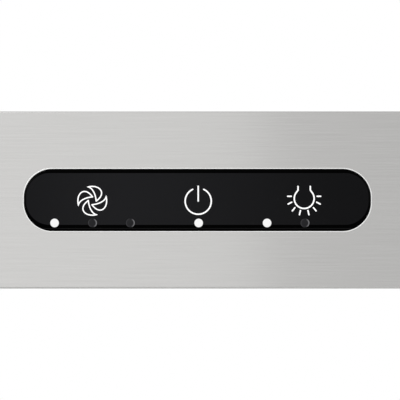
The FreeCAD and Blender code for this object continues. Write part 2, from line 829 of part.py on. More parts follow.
def make_control_housing():
    middle, wall = panel_x, dim.housing_wall
    inner_half, inner_rise = housing_half - wall, housing_rise - wall
    boss_x, boss_z = inner_half - 2 * dim.housing_boss, inner_rise - POST_CLEAR * dim.housing_boss

    board = new_body("touch_board")
    edge = dim.housing_gap
    outline = rounded(middle - inner_half + edge, middle + inner_half - edge,
                      panel_z - inner_rise + edge, panel_z + inner_rise - edge, dim.chip)
    pad(board, "front", board_front - dim.board, [outline], dim.board)

    body = new_body("control_housing")
    shell = rounded(middle - housing_half, middle + housing_half,
                    panel_z - housing_rise, panel_z + housing_rise, wall)
    pad(body, "front", housing_back, [shell], dim.housing_depth)
    hollow = rectangle(middle - inner_half, middle + inner_half, panel_z - inner_rise, panel_z + inner_rise)
    pocket(body, "front", housing_back + wall, [hollow], dim.housing_depth - wall)
    posts = [circle(middle + across * boss_x, panel_z + up * boss_z, dim.housing_boss)
             for across in (-1, 1) for up in (-1, 1)]
    pad(body, "front", housing_back + wall, posts, board_front - dim.board - housing_back - wall)
    reach = housing_half + dim.ear_length
    ears = [rectangle(middle - reach, middle - housing_half, panel_z - dim.ear_height / 2,
                      panel_z + dim.ear_height / 2),
            rectangle(middle + housing_half, middle + reach, panel_z - dim.ear_height / 2,
                      panel_z + dim.ear_height / 2)]
    pad(body, "front", fascia_inner - dim.ear_plate, ears, dim.ear_plate)
    pocket(body, "front", fascia_inner - dim.ear_plate,
           [circle(across, panel_z, dim.stud_radius + dim.screw_gap) for across in studs_at], dim.ear_plate)

    nuts = new_body("control_nuts")
    rings = []
    for across in studs_at:
        rings += [hexagon(across, panel_z, dim.nut_width),
                  circle(across, panel_z, dim.stud_radius + dim.running_gap)]
    pad(nuts, "front", fascia_inner - dim.ear_plate - dim.nut_height, rings, dim.nut_height)


def make_ribbon():
    """A flat lead that lies on the pan, from under the touch board to the power box."""
    body = new_body("ribbon_cable")
    start = panel_x + housing_half / 2
    lane = housing_back + dim.housing_depth / 2
    near, far = -lane - dim.ribbon_width / 2, -lane + dim.ribbon_width / 2
    left, right = power_x - dim.ribbon_width / 2, power_x + dim.ribbon_width / 2
    route = [(start, near), (right, near), (right, power_front), (left, power_front),
             (left, far), (start, far)]
    pad(body, "top", pan_top, [route], dim.ribbon_sheet)


# Power supply

def make_power_box():
    wall = dim.power_wall
    left, right = power_x - power_half, power_x + power_half
    rear = -dim.power_rear

    def inset(edge):
        return rectangle(left + edge, right - edge, power_front + edge, rear - edge)

    post_inset = wall + POST_CLEAR * dim.power_post_radius
    corners = [(across, along) for across in (left + post_inset, right - post_inset)
               for along in (power_front + post_inset, rear - post_inset)]
    screw_posts = [corners[0], corners[3]]
    board_posts = [corners[1], corners[2]]
    board_under = pan_top + wall + dim.power_post
    tray_top = pan_top + dim.power_height

    tray = new_body("power_box")
    pad(tray, "top", pan_top, [inset(as_size(0))], dim.power_height)
    pocket(tray, "top", pan_top + wall, [inset(wall)], dim.power_height - wall)
    pad(tray, "top", pan_top + wall, holes(board_posts, dim.power_post_radius), dim.power_post)
    pad(tray, "top", pan_top + wall, holes(screw_posts, dim.power_post_radius), dim.power_height - wall)
    depth = dim.screw_tail * 2
    pocket(tray, "top", tray_top - depth, holes(screw_posts, dim.screw_radius + dim.running_gap), depth)

    cover = new_body("power_cover")
    pad(cover, "top", tray_top, [inset(as_size(0))], wall)
    pocket(cover, "top", tray_top, holes(screw_posts, screw_hole), wall)

    screws = new_body("power_cover_screws")
    add_screws(screws, "top", screw_posts, tray_top + wall, wall + dim.screw_tail)

    board = new_body("power_board")
    pad(board, "top", board_under, [inset(wall + dim.housing_gap)], dim.board)
    room = dim.power_post_radius + dim.screw_gap
    (near_x, near_y), (far_x, far_y) = screw_posts
    notches = [rectangle(left, near_x + room, power_front, near_y + room),
               rectangle(far_x - room, right, far_y - room, rear)]
    pocket(board, "top", board_under, notches, dim.board)

    block = new_body("terminal_block")
    seat = board_under + dim.board
    middle = power_front + dim.power_length / 2
    low, high = power_x - dim.terminal_width / 2, power_x + dim.terminal_width / 2
    pad(block, "top", seat, [rectangle(low, high, middle - dim.terminal_length / 2,
                                       middle + dim.terminal_length / 2)], dim.terminal_height)
    ways = [circle(middle + step * dim.terminal_length / 3, seat + dim.terminal_height / 2, dim.screw_radius)
            for step in (-1, 0, 1)]
    pocket(block, "side", low, ways, dim.terminal_width / 2)


# Motor box

def make_motor_box():
    skin = dim.box_sheet
    brim = dim.box_flange

    seal = new_body("motor_box_seal")
    edge, behind = box_half + brim, -dim.sheet - dim.slide_gap
    outer = [(-edge, -box_depth - brim), (edge, -box_depth - brim), (edge, behind), (box_half, behind),
             (box_half, 0), (-box_half, 0), (-box_half, behind), (-edge, behind)]
    inner = rectangle(skin - box_half, box_half - skin, skin - box_depth, -skin)
    pad(seal, "top", canopy_top, [outer, inner, *holes(box_screws_at, screw_hole)], dim.seal_height)

    body = new_body("motor_box")
    height = box_top - box_bottom
    pad(body, "top", box_bottom, [rectangle(-box_half, box_half, -box_depth, 0)], height)
    pad(body, "top", box_bottom, [outer], skin)
    pocket(body, "top", box_bottom, [inner], height - skin)
    pocket(body, "top", box_bottom, holes(box_screws_at, screw_hole), skin)
    outlet = rectangle(-scroll_half, scroll_half, axis_y - dim.outlet_depth, axis_y)
    lead_hole = circle(box_half - dim.grommet_inset, -dim.grommet_inset, dim.grommet_radius)
    pocket(body, "top", box_roof, [outlet, lead_hole, *holes(collar_screws_at, screw_hole)], skin)
    hangers = [(side * dim.hang_spacing / 2, box_top - dim.hang_drop) for side in (-1, 1)]
    pocket(body, "front", 0, holes(hangers, dim.hang_radius), skin)

    screws = new_body("motor_box_screws")
    length = skin + dim.seal_height + dim.sheet + dim.screw_tail
    add_screws(screws, "top", box_screws_at, box_bottom + skin, length)

    grommet = new_body("cable_grommet")
    place(grommet, box_half - dim.grommet_inset, -dim.grommet_inset, box_roof)
    bore, neck = dim.grommet_bore, dim.grommet_radius - dim.running_gap
    lip, rise = dim.grommet_radius + dim.grommet_lip, skin + 2 * skin
    turned(grommet, "front", "V_Axis", [[(bore, -2 * skin), (lip, -2 * skin), (lip, 0), (neck, 0),
                                         (neck, skin), (lip, skin), (lip, rise), (bore, rise)]])


# Blower

def make_scroll():
    wrapper = new_body("scroll_wrapper")
    pad(wrapper, "side", -scroll_half, [scroll_outline(dim.sheet)], 2 * scroll_half)
    pocket(wrapper, "side", -scroll_half, [scroll_outline(as_size(0))], 2 * scroll_half)

    inlet = dim.wheel_radius - dim.wheel_ring - dim.inlet_gap - dim.inlet_lip
    mouth = circle(axis_y, axis_z, inlet)
    lip = circle(axis_y, axis_z, inlet + dim.inlet_lip)
    lip_depth = dim.wheel_side_gap - dim.inlet_end_gap
    spots = [(axis_y + along, axis_z + up) for along, up in arm_spots]
    for label, side in (("scroll_left_plate", -1), ("scroll_right_plate", 1)):
        plate = new_body(label)
        start = scroll_half if side > 0 else -scroll_outer
        pad(plate, "side", start, [scroll_outline(dim.sheet)], dim.sheet)
        lip_start = scroll_half - lip_depth if side > 0 else -scroll_half
        pad(plate, "side", lip_start, [lip], lip_depth)
        pocket(plate, "side", lip_start if side > 0 else start, [mouth], dim.sheet + lip_depth)
        if side > 0:
            pocket(plate, "side", start, holes(spots, screw_hole), dim.sheet)
        near, far = scroll_half * side, (scroll_outer + dim.outlet_flange) * side
        brim_half = collar_screw_y + 2 * dim.screw_head
        brim = rectangle(*((near, far) if side > 0 else (far, near)),
                         duct_y - brim_half, duct_y + brim_half)
        pad(plate, "top", box_roof - dim.sheet, [brim], dim.sheet)
        mine = [spot for spot in collar_screws_at if spot[0].value * side > 0]
        pocket(plate, "top", box_roof - dim.sheet, holes(mine, screw_hole), dim.sheet)


def blade_outline():
    """A forward-curved blade between two radii: two like arcs, one blade thickness apart."""
    inner, outer = dim.wheel_radius - dim.blade_depth, dim.wheel_radius
    lead = math.radians(BLADE_LEAD)
    root = (inner, as_size(0))
    tip = (outer * math.cos(lead), outer * math.sin(lead))
    run = (tip[0] - root[0], tip[1] - root[1])
    middle = ((root[0] + tip[0]) / 2 - run[1] * BLADE_BOW,
              (root[1] + tip[1]) / 2 + run[0] * BLADE_BOW)
    skin = dim.blade_sheet
    return [(*root, *middle), tip, (tip[0], tip[1] + skin, middle[0], middle[1] + skin, True),
            (root[0], root[1] + skin)]


def make_impeller():
    half, plate = dim.wheel_width / 2, dim.wheel_plate
    bore = dim.shaft_radius + dim.running_gap
    disc = new_body("impeller_plate")
    place(disc, 0, axis_y, axis_z)
    rim = circle(0, 0, dim.wheel_radius - dim.blade_sheet)
    pad(disc, "side", -plate / 2, [rim, circle(0, 0, bore)], plate)

    blades = new_body("impeller_blades")
    place(blades, 0, axis_y, axis_z)
    for start in (plate - half, plate / 2):
        blade = pad(blades, "side", start, [blade_outline()], half - plate - plate / 2)
        ring_of(blades, blade, dim.blade_count)

    rings = new_body("impeller_rings")
    place(rings, 0, axis_y, axis_z)
    ring = [circle(0, 0, dim.wheel_radius), circle(0, 0, dim.wheel_radius - dim.wheel_ring)]
    for start in (-half, half - plate):
        pad(rings, "side", start, ring, plate)

    hub = new_body("impeller_hub")
    place(hub, 0, axis_y, axis_z)
    end = -plate / 2
    far = end - dim.hub_length
    turned(hub, "front", "H_Axis", [[(far, bore), (end, bore), (end, dim.hub_flange),
                                     (end - plate, dim.hub_flange), (end - plate, dim.hub_radius),
                                     (far, dim.hub_radius)]])

    shaft = new_body("motor_shaft")
    place(shaft, 0, axis_y, axis_z)
    start = far + dim.screw_tail
    pad(shaft, "side", start, [circle(0, 0, dim.shaft_radius)], motor_end + dim.shaft_end - start)


def make_motor():
    motor = new_body("motor_body")
    place(motor, 0, axis_y, axis_z)
    seat = dim.bearing_radius + dim.running_gap
    reach, step = dim.motor_radius, dim.motor_shoulder
    hollow = dim.shaft_radius + 2 * dim.screw_gap
    brim_end = arm_x
    brim_start = brim_end - dim.motor_flange_plate
    brim = reach + dim.motor_flange
    inner_front, inner_back = motor_start + dim.bearing_length, motor_end - dim.bearing_length
    turned(motor, "front", "H_Axis", [[
        (motor_start, seat), (inner_front, seat), (inner_front, hollow), (inner_back, hollow),
        (inner_back, seat), (motor_end, seat), (motor_end, reach - step, motor_end - step, reach - step),
        (motor_end - step, reach), (brim_end, reach), (brim_end, brim),
        (brim_start, brim), (brim_start, reach),
        (motor_start + step, reach, motor_start + step, reach - step), (motor_start, reach - step)]])

    bearings = new_body("motor_bearings")
    place(bearings, 0, axis_y, axis_z)
    ring = [circle(0, 0, dim.bearing_radius), circle(0, 0, dim.shaft_radius + dim.running_gap)]
    pad(bearings, "side", motor_start, ring, dim.bearing_length)
    pad(bearings, "side", inner_back, ring, dim.bearing_length)

    spider = new_body("motor_spider")
    turn = FreeCAD.Rotation(FreeCAD.Vector(1, 0, 0), ARM_TURN)
    spider.Placement = FreeCAD.Placement(FreeCAD.Vector(), turn)
    place(spider, 0, axis_y, axis_z)
    bore = reach + dim.running_gap
    pad(spider, "side", arm_x, [circle(0, 0, brim), circle(0, 0, bore)], dim.arm_plate)
    tip = dim.arm_radius + dim.arm_width / 2
    root = bore + dim.screw_gap
    arm = pad(spider, "side", arm_x, [pill((root + tip) / 2, as_size(0), tip - root, dim.arm_width)],
              dim.arm_plate)
    ring_of(spider, arm, as_size(ARM_COUNT))
    eye = pocket(spider, "side", arm_x, [circle(dim.arm_radius, 0, screw_hole)], dim.arm_plate)
    ring_of(spider, eye, as_size(ARM_COUNT))

    cushions = new_body("motor_cushions")
    place(cushions, 0, axis_y, axis_z)
    rings = holes(arm_spots, dim.cushion_radius) + holes(arm_spots, screw_hole)
    pad(cushions, "side", scroll_outer, rings, dim.cushion_height)

    screws = new_body("motor_screws")
    place(screws, 0, axis_y, axis_z)
    length = dim.arm_plate + dim.cushion_height + dim.sheet
    add_screws(screws, "side", arm_spots, arm_x + dim.arm_plate, length)


def make_capacitor():
    inner_wall = box_half - dim.box_sheet
    hold = dim.capacitor_radius + dim.strap_gap
    centre_x = inner_wall - hold - dim.strap
    centre_y = dim.capacitor_front - box_depth
    low = box_roof - dim.capacitor_drop - dim.capacitor_length

    can = new_body("run_capacitor")
    place(can, centre_x, centre_y, low)
    bend, tip = dim.lamp_round, dim.capacitor_length
    edge = dim.capacitor_radius
    turned(can, "front", "V_Axis", [[(0, 0), (edge - bend, 0, edge - bend, bend), (edge, bend),
                                     (edge, tip - bend, edge - bend, tip - bend), (edge - bend, tip),
                                     (0, tip)]])

    strap = new_body("capacitor_strap")
    level = low + (dim.capacitor_length - dim.strap_height) / 2
    pad(strap, "top", level, [circle(centre_x, centre_y, hold + dim.strap)], dim.strap_height)
    foot = rectangle(inner_wall - dim.strap, inner_wall, centre_y - dim.strap_foot / 2,
                     centre_y + dim.strap_foot / 2)
    pad(strap, "top", level, [foot], dim.strap_height)
    pocket(strap, "top", level, [circle(centre_x, centre_y, hold)], dim.strap_height)


# Duct collar and backdraught flaps

def make_collar():
    inner = dim.collar_radius - dim.collar_wall
    skin = dim.box_sheet
    pin_z = dim.damper_height
    ledge_top = pin_z - dim.damper_sheet / 2 - dim.damper_ledge_gap

    collar = new_body("duct_collar")
    place(collar, 0, duct_y, box_top)
    wide, deep = collar_screw_x + dim.screw_head + dim.screw_gap, collar_half
    pad(collar, "top", 0, [rounded(-wide, wide, -deep, deep, dim.screw_head),
                           circle(0, 0, inner)], skin)
    tube = [circle(0, 0, dim.collar_radius), circle(0, 0, inner)]
    pad(collar, "top", 0, tube, dim.collar_height)
    ledge = [circle(0, 0, inner + dim.collar_wall / 2), circle(0, 0, inner - dim.damper_ledge)]
    pad(collar, "top", ledge_top - skin, ledge, skin)
    local = [(across, along - duct_y) for across, along in collar_screws_at]
    pocket(collar, "top", 0, holes(local, screw_hole), skin)
    pocket(collar, "front", -dim.collar_radius, [circle(0, pin_z, dim.damper_pin + dim.running_gap)],
           2 * dim.collar_radius)

    screws = new_body("collar_screws")
    length = 2 * skin + dim.sheet + dim.screw_tail
    add_screws(screws, "top", collar_screws_at, box_top + skin, length)

    pin_half = dim.collar_radius - dim.running_gap
    pin = new_body("damper_pin")
    place(pin, 0, duct_y, box_top + pin_z)
    pad(pin, "front", -pin_half, [circle(0, 0, dim.damper_pin)], 2 * pin_half)


def make_flap(label, side):
    """Half a disc on two knuckles, which alternate with the other flap's along the pin."""
    flap = new_body(label)
    place(flap, 0, duct_y, box_top + dim.damper_height)
    skin, knuckle = dim.damper_sheet, dim.damper_knuckle
    radius = dim.collar_radius - dim.collar_wall - dim.damper_gap
    edge = knuckle + dim.damper_gap
    reach = (radius * radius - edge * edge).root()
    half_disc = [(edge, -reach, as_size(0), as_size(0)), (edge, reach)]
    if side < 0:
        half_disc = [(-edge, reach, as_size(0), as_size(0)), (-edge, -reach)]
    pad(flap, "top", -skin / 2, [half_disc], skin)
    bay = (reach - dim.damper_ledge) / 2
    gap = dim.damper_gap / 2
    for step in ((-2, 0) if side > 0 else (-1, 1)):
        start, length = step * bay + gap, bay - 2 * gap
        pad(flap, "front", start, [circle(0, 0, knuckle)], length)
        near, far = (as_size(0), edge + skin) if side > 0 else (-edge - skin, as_size(0))
        pad(flap, "top", -skin / 2, [rectangle(near, far, -start - length, -start)], skin)
    pocket(flap, "front", -radius, [circle(0, 0, dim.damper_pin + dim.running_gap)], 2 * radius)


# Chimney

def make_chimney():
    lower = new_body("lower_chimney")
    pad(lower, "top", canopy_top,
        [chimney_section(lower_half, -dim.chimney_depth, as_size(0), dim.chimney_return)], dim.lower_height)

    upper = new_body("upper_chimney")
    pad(upper, "top", upper_bottom,
        [chimney_section(upper_half, upper_front, upper_back, dim.upper_return)], dim.upper_height)
    notch = dim.bracket_height + 2 * dim.bracket_drop
    skin = dim.sheet
    inside = upper_half - skin
    returns = rectangle(-inside, inside, upper_back - skin, upper_back)
    pocket(upper, "top", upper_top - notch, [returns], notch)
    vent_y = (upper_front + upper_back) / 2
    slot = pill(vent_y, upper_top - dim.vent_drop - dim.vent_pitch * (dim.vent_count - 1),
                dim.vent_length, dim.vent_height)
    vents = pocket(upper, "side", -upper_half, [slot], 2 * upper_half)
    row_of(upper, vents, "V_Axis", dim.vent_pitch * (dim.vent_count - 1), dim.vent_count)
    screw_z = upper_top - dim.bracket_drop - dim.bracket_height / 2
    screw_y = -dim.bracket_ear / 2
    hole = [circle(screw_y, screw_z, screw_hole)]
    pocket(upper, "side", -upper_half, hole, 2 * upper_half)

    bracket = new_body("chimney_bracket")
    low = upper_top - dim.bracket_drop - dim.bracket_height
    wall = dim.bracket_sheet
    strap = [(-inside, 0), (-inside, -dim.bracket_ear), (wall - inside, -dim.bracket_ear),
             (wall - inside, -wall), (inside - wall, -wall), (inside - wall, -dim.bracket_ear),
             (inside, -dim.bracket_ear), (inside, 0)]
    pad(bracket, "top", low, [strap], dim.bracket_height)
    pocket(bracket, "side", -inside, hole, 2 * inside)
    wall_holes = [(side * dim.bracket_spacing / 2, screw_z) for side in (-1, 1)]
    pocket(bracket, "front", 0, holes(wall_holes, dim.bracket_hole), wall)

    screws = new_body("chimney_screws")
    length = skin + wall + dim.screw_tail
    add_screws(screws, "side", [(screw_y, screw_z)], upper_half, length)
    add_screws(screws, "side", [(screw_y, screw_z)], -upper_half, length, outward=False)


def check_model():
    """Stop before anything is written if a feature failed or a piece has no sound solid."""
    for item in doc.Objects:
        if "Invalid" in item.State or "Error" in item.State:
            raise RuntimeError(f"{item.Label} failed: {item.State}")
    for body in nodes:
        if body.Shape.isNull() or not body.Shape.isValid() or not body.Shape.Solids:
            raise RuntimeError(f"{body.Label} has no valid solid")


make_canopy()
make_pan()
make_filter("left", -1)
make_filter("right", 1)
make_lamps()
make_lamp_clips()
make_panel()
make_control_housing()
make_ribbon()
make_power_box()
make_motor_box()
make_scroll()
make_impeller()
make_motor()
make_capacitor()
make_collar()
make_flap("left_damper_flap", -1)
make_flap("right_damper_flap", 1)
make_chimney()

doc.recompute()
check_model()
os.makedirs("parts", exist_ok=True)
for body in nodes:
    body.Shape.exportStep(os.path.join("parts", f"{body.Label}.step"))
print(f"{len(nodes)} nodes written")
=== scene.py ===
"""Looks of a wall-mounted chimney range hood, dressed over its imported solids.

The front faces -Y, +Z is up and the wall is the plane y = 0. Shapes are worked out in millimetres and the
studio in metres.
"""

import json
import math

import bmesh
import bpy
import numpy as np
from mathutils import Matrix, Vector

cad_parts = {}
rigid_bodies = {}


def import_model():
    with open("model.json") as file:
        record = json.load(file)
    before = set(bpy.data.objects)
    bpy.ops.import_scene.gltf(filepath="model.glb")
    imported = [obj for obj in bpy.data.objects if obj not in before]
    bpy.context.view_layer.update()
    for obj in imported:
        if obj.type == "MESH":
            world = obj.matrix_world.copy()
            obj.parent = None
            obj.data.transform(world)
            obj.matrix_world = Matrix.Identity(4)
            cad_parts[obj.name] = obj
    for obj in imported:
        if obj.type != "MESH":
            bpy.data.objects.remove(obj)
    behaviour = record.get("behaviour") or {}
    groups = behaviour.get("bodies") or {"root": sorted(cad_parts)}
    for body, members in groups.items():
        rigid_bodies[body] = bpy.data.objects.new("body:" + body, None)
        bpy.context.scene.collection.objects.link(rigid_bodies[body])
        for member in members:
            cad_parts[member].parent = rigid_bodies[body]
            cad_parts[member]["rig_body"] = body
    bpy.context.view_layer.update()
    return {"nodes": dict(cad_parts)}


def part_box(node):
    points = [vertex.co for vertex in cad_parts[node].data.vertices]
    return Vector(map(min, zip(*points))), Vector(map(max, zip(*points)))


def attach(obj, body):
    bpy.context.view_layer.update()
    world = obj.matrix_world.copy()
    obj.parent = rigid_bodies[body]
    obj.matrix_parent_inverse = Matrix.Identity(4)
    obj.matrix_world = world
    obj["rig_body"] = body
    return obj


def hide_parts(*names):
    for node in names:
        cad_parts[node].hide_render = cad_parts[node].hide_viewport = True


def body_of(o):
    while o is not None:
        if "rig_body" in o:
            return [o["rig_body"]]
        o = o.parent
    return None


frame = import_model()

MM = 0.001


def packed_box(node):
    """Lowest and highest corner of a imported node, in millimetres."""
    return [np.array(corner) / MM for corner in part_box(node)]


# Control panel: the imported fronts and middle, then the bead round it and the painted highlight line along
# its lower edge
FASCIA_FRONT = packed_box("canopy_shell")[0][1]
FACE_FRONT = packed_box("touch_face")[0][1]
PANEL_X = np.mean(packed_box("panel_trim_ring"), axis=0)[0]
PANEL_END_FLAT = 1.5
TRIM_WIDTH = 0.34
TRIM_OVERHANG = 0.025
TRIM_PROUD = 0.1
TRIM_DEPTH = 0.9
TRIM_ROUNDING = 0.2
TRIM_SIDES = 28
# Height and half width of the painted highlight line on the bezel
BEZEL_HIGHLIGHT_Z = -9.0
BEZEL_HIGHLIGHT_HALF = 0.12

# Painted sheen on the face: where it rises and falls, from the panel's middle
FACE_SHEEN_RISE = (-62.0, -24.0)
FACE_SHEEN_FALL = (-28.0, 56.0)
FACE_SHEEN_END_SHARE = 0.45

# Lenses: how many each node holds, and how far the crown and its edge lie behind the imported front
LENS_COUNTS = {"fan_speed_lenses": 3, "power_lens": 1, "light_level_lenses": 2}
LENS_RADIUS = np.ptp(packed_box("power_lens"), axis=0)[0] / 2
LENS_CROWN = 0.01
LENS_EDGE = 0.10
LENS_CROWN_SHARE = 0.88
LENS_CROWN_STEPS = 8
LENS_SIDES = 48

# Painted glint and shade of a lens: where they start along its radius, or round it by cosine, and over what
# span
GLINT_START = 0.62
GLINT_SPAN = 0.30
GLINT_TURN = 0.25
GLINT_TURN_SPAN = 0.65
GLINT_FAR_SHARE = 0.12
SHADE_START = 0.92
SHADE_SPAN = 0.06

# Symbols: places from the panel's middle, line widths, and how far the print stands up and soaks in
FAN_AT = (-33.20, -0.25)
POWER_AT = (0.26, -0.38)
BULB_AT = (33.72, 0.46)
FINE_LINE = 0.40
BOLD_LINE = 0.46
TIP_POINT = 0.2
PRINT_RISE = 0.04
PRINT_SOAK = 0.01
PRINT_SIDES = 12
CAP_STEPS = 5

# Screws: pan heads with a cross recess over a cut thread, and the axis that those of each node lie along
SCREW_HEAD = 3.6
SCREW_HEAD_HEIGHT = 2.2
SCREW_RADIUS = 2.0
CROWN_SHARE = 0.75
CROWN_DROP = 0.2
CROWN_STEPS = 20
RIM_DROP = 0.9
RECESS_ARM = 1.9
RECESS_HALF = 0.45
RECESS_SLOPE = 0.3
RECESS_DEPTH = 1.2
THREAD_PITCH = 1.4
THREAD_DEPTH = 0.35
THREAD_STEPS = 6
SCREW_SIDES = 48
CLUMP_REACH = 30.0
SCREW_AXES = {"motor_box_screws": 2, "collar_screws": 2, "power_cover_screws": 2,
              "motor_screws": 0, "chimney_screws": 0}

# Patterns: end shields and core plates of the motor, wires of the ribbon, copper runs of the boards
SHIELD_DEPTH = 16.0
PLATE_PITCH = 0.9
RIBBON_WIDTH = 12.0
WIRE_PITCH = 1.27
RUN_PITCH = 3.2
RUN_SWAY = 2.0

# Studio, in metres, with the camera's focal length and sensor in millimetres
FLOOR_Z = -0.42
FLOOR_REACH = 2.6
FLOOR_FADE = (0.5, 0.97)
FLOOR_SIDES = 96
FOCAL_LENGTH = 340.0
SENSOR_WIDTH = 36.0
FRAME_WIDTH = 0.1264
CAMERA_SHIFT = 0.00082
MIRROR_LEVEL = 1.02
FILL_LEVEL = 0.62
SIDE_DROP = 0.16
SIDE_EDGE = 0.0165
SIDE_BLUR = 0.004
WIDE_DROP = 0.12
WIDE_BLUR = 0.09
ROOF_DROP = 0.3
ROOF_UP = (0.10, 0.45)
ROOF_BACK = (-0.3, 0.5)
LAMP_SIZE = 4.0
LAMP_AIM = (0.0, -0.2, 0.2)
LAMPS = {"key_lamp": ((-1.8, -2.4, 2.6), 62.0),
         "fill_lamp": ((2.4, -1.2, 1.6), 16.0),
         "back_lamp": ((-1.6, 2.6, 2.0), 14.0)}


# Node building

class Signal:
    """A shader value that takes part in sums: each operator adds one Math node."""

    def __init__(self, nodes, socket):
        self.nodes = nodes
        self.socket = socket

    def __add__(self, other):
        return self.nodes.maths("ADD", self, other)

    def __radd__(self, other):
        return self.nodes.maths("ADD", other, self)

    def __sub__(self, other):
        return self.nodes.maths("SUBTRACT", self, other)

    def __rsub__(self, other):
        return self.nodes.maths("SUBTRACT", other, self)

    def __mul__(self, other):
        return self.nodes.maths("MULTIPLY", self, other)

    def __rmul__(self, other):
        return self.nodes.maths("MULTIPLY", other, self)

    def __gt__(self, other):
        return self.nodes.maths("GREATER_THAN", self, other)

    def __lt__(self, other):
        return self.nodes.maths("LESS_THAN", self, other)

    def __abs__(self):
        return self.nodes.maths("ABSOLUTE", self)


class Nodes:
    """Adds nodes to the tree of one material or world."""

    def __init__(self, tree):
        self.tree = tree
        tree.nodes.clear()

    def node(self, kind, settings=None, inputs=None, output=0):
        """One node of any type: its settings first, then the values or links of its sockets."""
        made = self.tree.nodes.new(kind)
        for name, value in (settings or {}).items():
            setattr(made, name, value)
        for name, value in (inputs or {}).items():
            if isinstance(value, Signal):
                self.tree.links.new(value.socket, made.inputs[name])
            else:
                made.inputs[name].default_value = value
        return Signal(self, made.outputs[output]) if made.outputs else made

    def maths(self, operation, *values):
        """One Math node on values or plain numbers."""
        return self.node("ShaderNodeMath", {"operation": operation}, dict(enumerate(values)))

    def place(self):
        """Object coordinates, in metres."""
        return self.node("ShaderNodeTexCoord", output="Object")

    def stretched(self, vector, scales):
        """A vector with each part times its own scale."""
        return self.node("ShaderNodeVectorMath", {"operation": "MULTIPLY"}, {0: vector, 1: scales})

    def parts(self, vector):
        """The three parts of a vector or colour."""
        split = self.node("ShaderNodeSeparateXYZ", inputs={0: vector}).socket.node
        return [Signal(self, socket) for socket in split.outputs]

    def millimetres(self):
        """Object coordinates along X, Y and Z, in millimetres."""
        return self.parts(self.stretched(self.place(), (1 / MM, 1 / MM, 1 / MM)))

    def noise(self, vector, scale=1.0, detail=2.0, rough=0.5):
        """Soft noise from 0 to 1."""
        return self.node("ShaderNodeTexNoise", {},
                         {"Vector": vector, "Scale": scale, "Detail": detail, "Roughness": rough})

    def cells(self, vector, scale):
        """Cells that each have a colour of their own."""
        return self.node("ShaderNodeTexVoronoi", {}, {"Vector": vector, "Scale": scale}, "Color")

    def wave(self, value, length):
        """A sine wave from 0 to 1 that repeats once a length."""
        return 0.5 + 0.5 * self.maths("SINE", value * (2 * math.pi / length))

    def ease(self, value, low, high):
        """0 below low, 1 above high and a smooth step between them."""
        return self.node("ShaderNodeMapRange", {"interpolation_type": "SMOOTHSTEP"},
                         {"Value": value, "From Min": low, "From Max": high})

    def blend(self, share, first, second):
        """A colour between two others."""
        return self.node("ShaderNodeMix", {"data_type": "RGBA"}, {0: share, 6: first, 7: second}, 2)

    def choose(self, share, first, second):
        """A vector between two others."""
        return self.node("ShaderNodeMix", {"data_type": "VECTOR"}, {0: share, 4: first, 5: second}, 1)

    def bump(self, height, distance, strength):
        """A normal that leans as a relief of this height would."""
        return self.node("ShaderNodeBump", {},
                         {"Height": height, "Distance": distance, "Strength": strength}, "Normal")


SOCKETS = {"metal": "Metallic", "rough": "Roughness", "gloss": "Specular IOR Level", "grain": "Anisotropic",
           "grain_turn": "Anisotropic Rotation", "coat": "Coat Weight", "glow": "Emission Strength"}


class Finish(Nodes):
    """A material: constants sit on the shader's own sockets and patterns are wired into it."""

    def __init__(self, name, colour, **constants):
        self.material = bpy.data.materials.new(name)
        self.material.use_nodes = True
        super().__init__(self.material.node_tree)
        self.colour = rgba(colour)
        values = {SOCKETS[word]: value for word, value in constants.items()}
        surface = self.node("ShaderNodeBsdfPrincipled", {}, {"Base Color": self.colour, **values})
        self.shader = surface.socket.node
        self.node("ShaderNodeOutputMaterial", {}, {"Surface": surface})

    def wire(self, socket, signal):
        """Feed one of the shader's sockets."""
        self.tree.links.new(signal.socket, self.shader.inputs[socket])

    def tint(self, share, low, high):
        """Shade the plain colour between two strengths."""
        dark, light = [rgba([part * strength for part in self.colour[:3]]) for strength in (low, high)]
        self.wire("Base Color", self.blend(share, dark, light))


def rgba(colour):
    """A colour with full cover."""
    return (*colour[:3], 1.0)


def grey(level):
    """A colour without hue."""
    return rgba((level, level, level))


# Metals

STAINLESS = (0.62, 0.615, 0.605)
LEVEL_FACING = 0.7


def brushed(name, colour, rough, stretch, flat_stretch=None, grain_turn=0.25):
    """Sheet brushed one way: long faint streaks in tone and gloss, turned on level faces if asked."""
    finish = Finish(name, colour, metal=1.0, rough=rough, grain=0.97, grain_turn=grain_turn)
    place = finish.stretched(finish.place(), stretch)
    if flat_stretch:
        normal = finish.node("ShaderNodeNewGeometry", output="Normal")
        level = abs(finish.parts(normal)[2]) > LEVEL_FACING
        place = finish.choose(level, place, finish.stretched(finish.place(), flat_stretch))
    streak = finish.noise(place, detail=3.0, rough=0.6)
    finish.tint(streak, 0.93, 1.07)
    finish.wire("Roughness", rough + 0.06 * (streak - 0.5))
    return finish.material


def sprung_strip():
    """Rolled spring strip with a soft mottle."""
    finish = Finish("spring_strip", (0.42, 0.42, 0.43), metal=1.0, rough=0.30)
    finish.tint(finish.noise(finish.place(), scale=400.0), 0.85, 1.1)
    return finish.material


def polished(name, colour, rough):
    """Bright metal with faint clouds in its gloss."""
    finish = Finish(name, colour, metal=1.0, rough=rough)
    cloud = finish.noise(finish.place(), scale=120.0, detail=3.0)
    finish.wire("Roughness", rough + 0.05 * (cloud - 0.5))
    return finish.material


def zinc_sheet():
    """Spangled zinc: crystal cells of differing tone and gloss, with ragged edges and a feathered grain."""
    finish = Finish("zinc_sheet", (0.50, 0.52, 0.53), metal=1.0, rough=0.42)
    feather = finish.noise(finish.place(), scale=700.0, detail=4.0, rough=0.65)
    ragged = finish.node("ShaderNodeVectorMath", {"operation": "ADD"},
                         {0: finish.place(), 1: finish.stretched(feather, (4 * MM, 4 * MM, 4 * MM))})
    tones = finish.parts(finish.cells(ragged, scale=110.0))
    finish.tint(0.75 * tones[0] + 0.5 * feather - 0.12, 0.82, 1.12)
    finish.wire("Roughness", 0.34 + 0.16 * tones[1])
    return finish.material


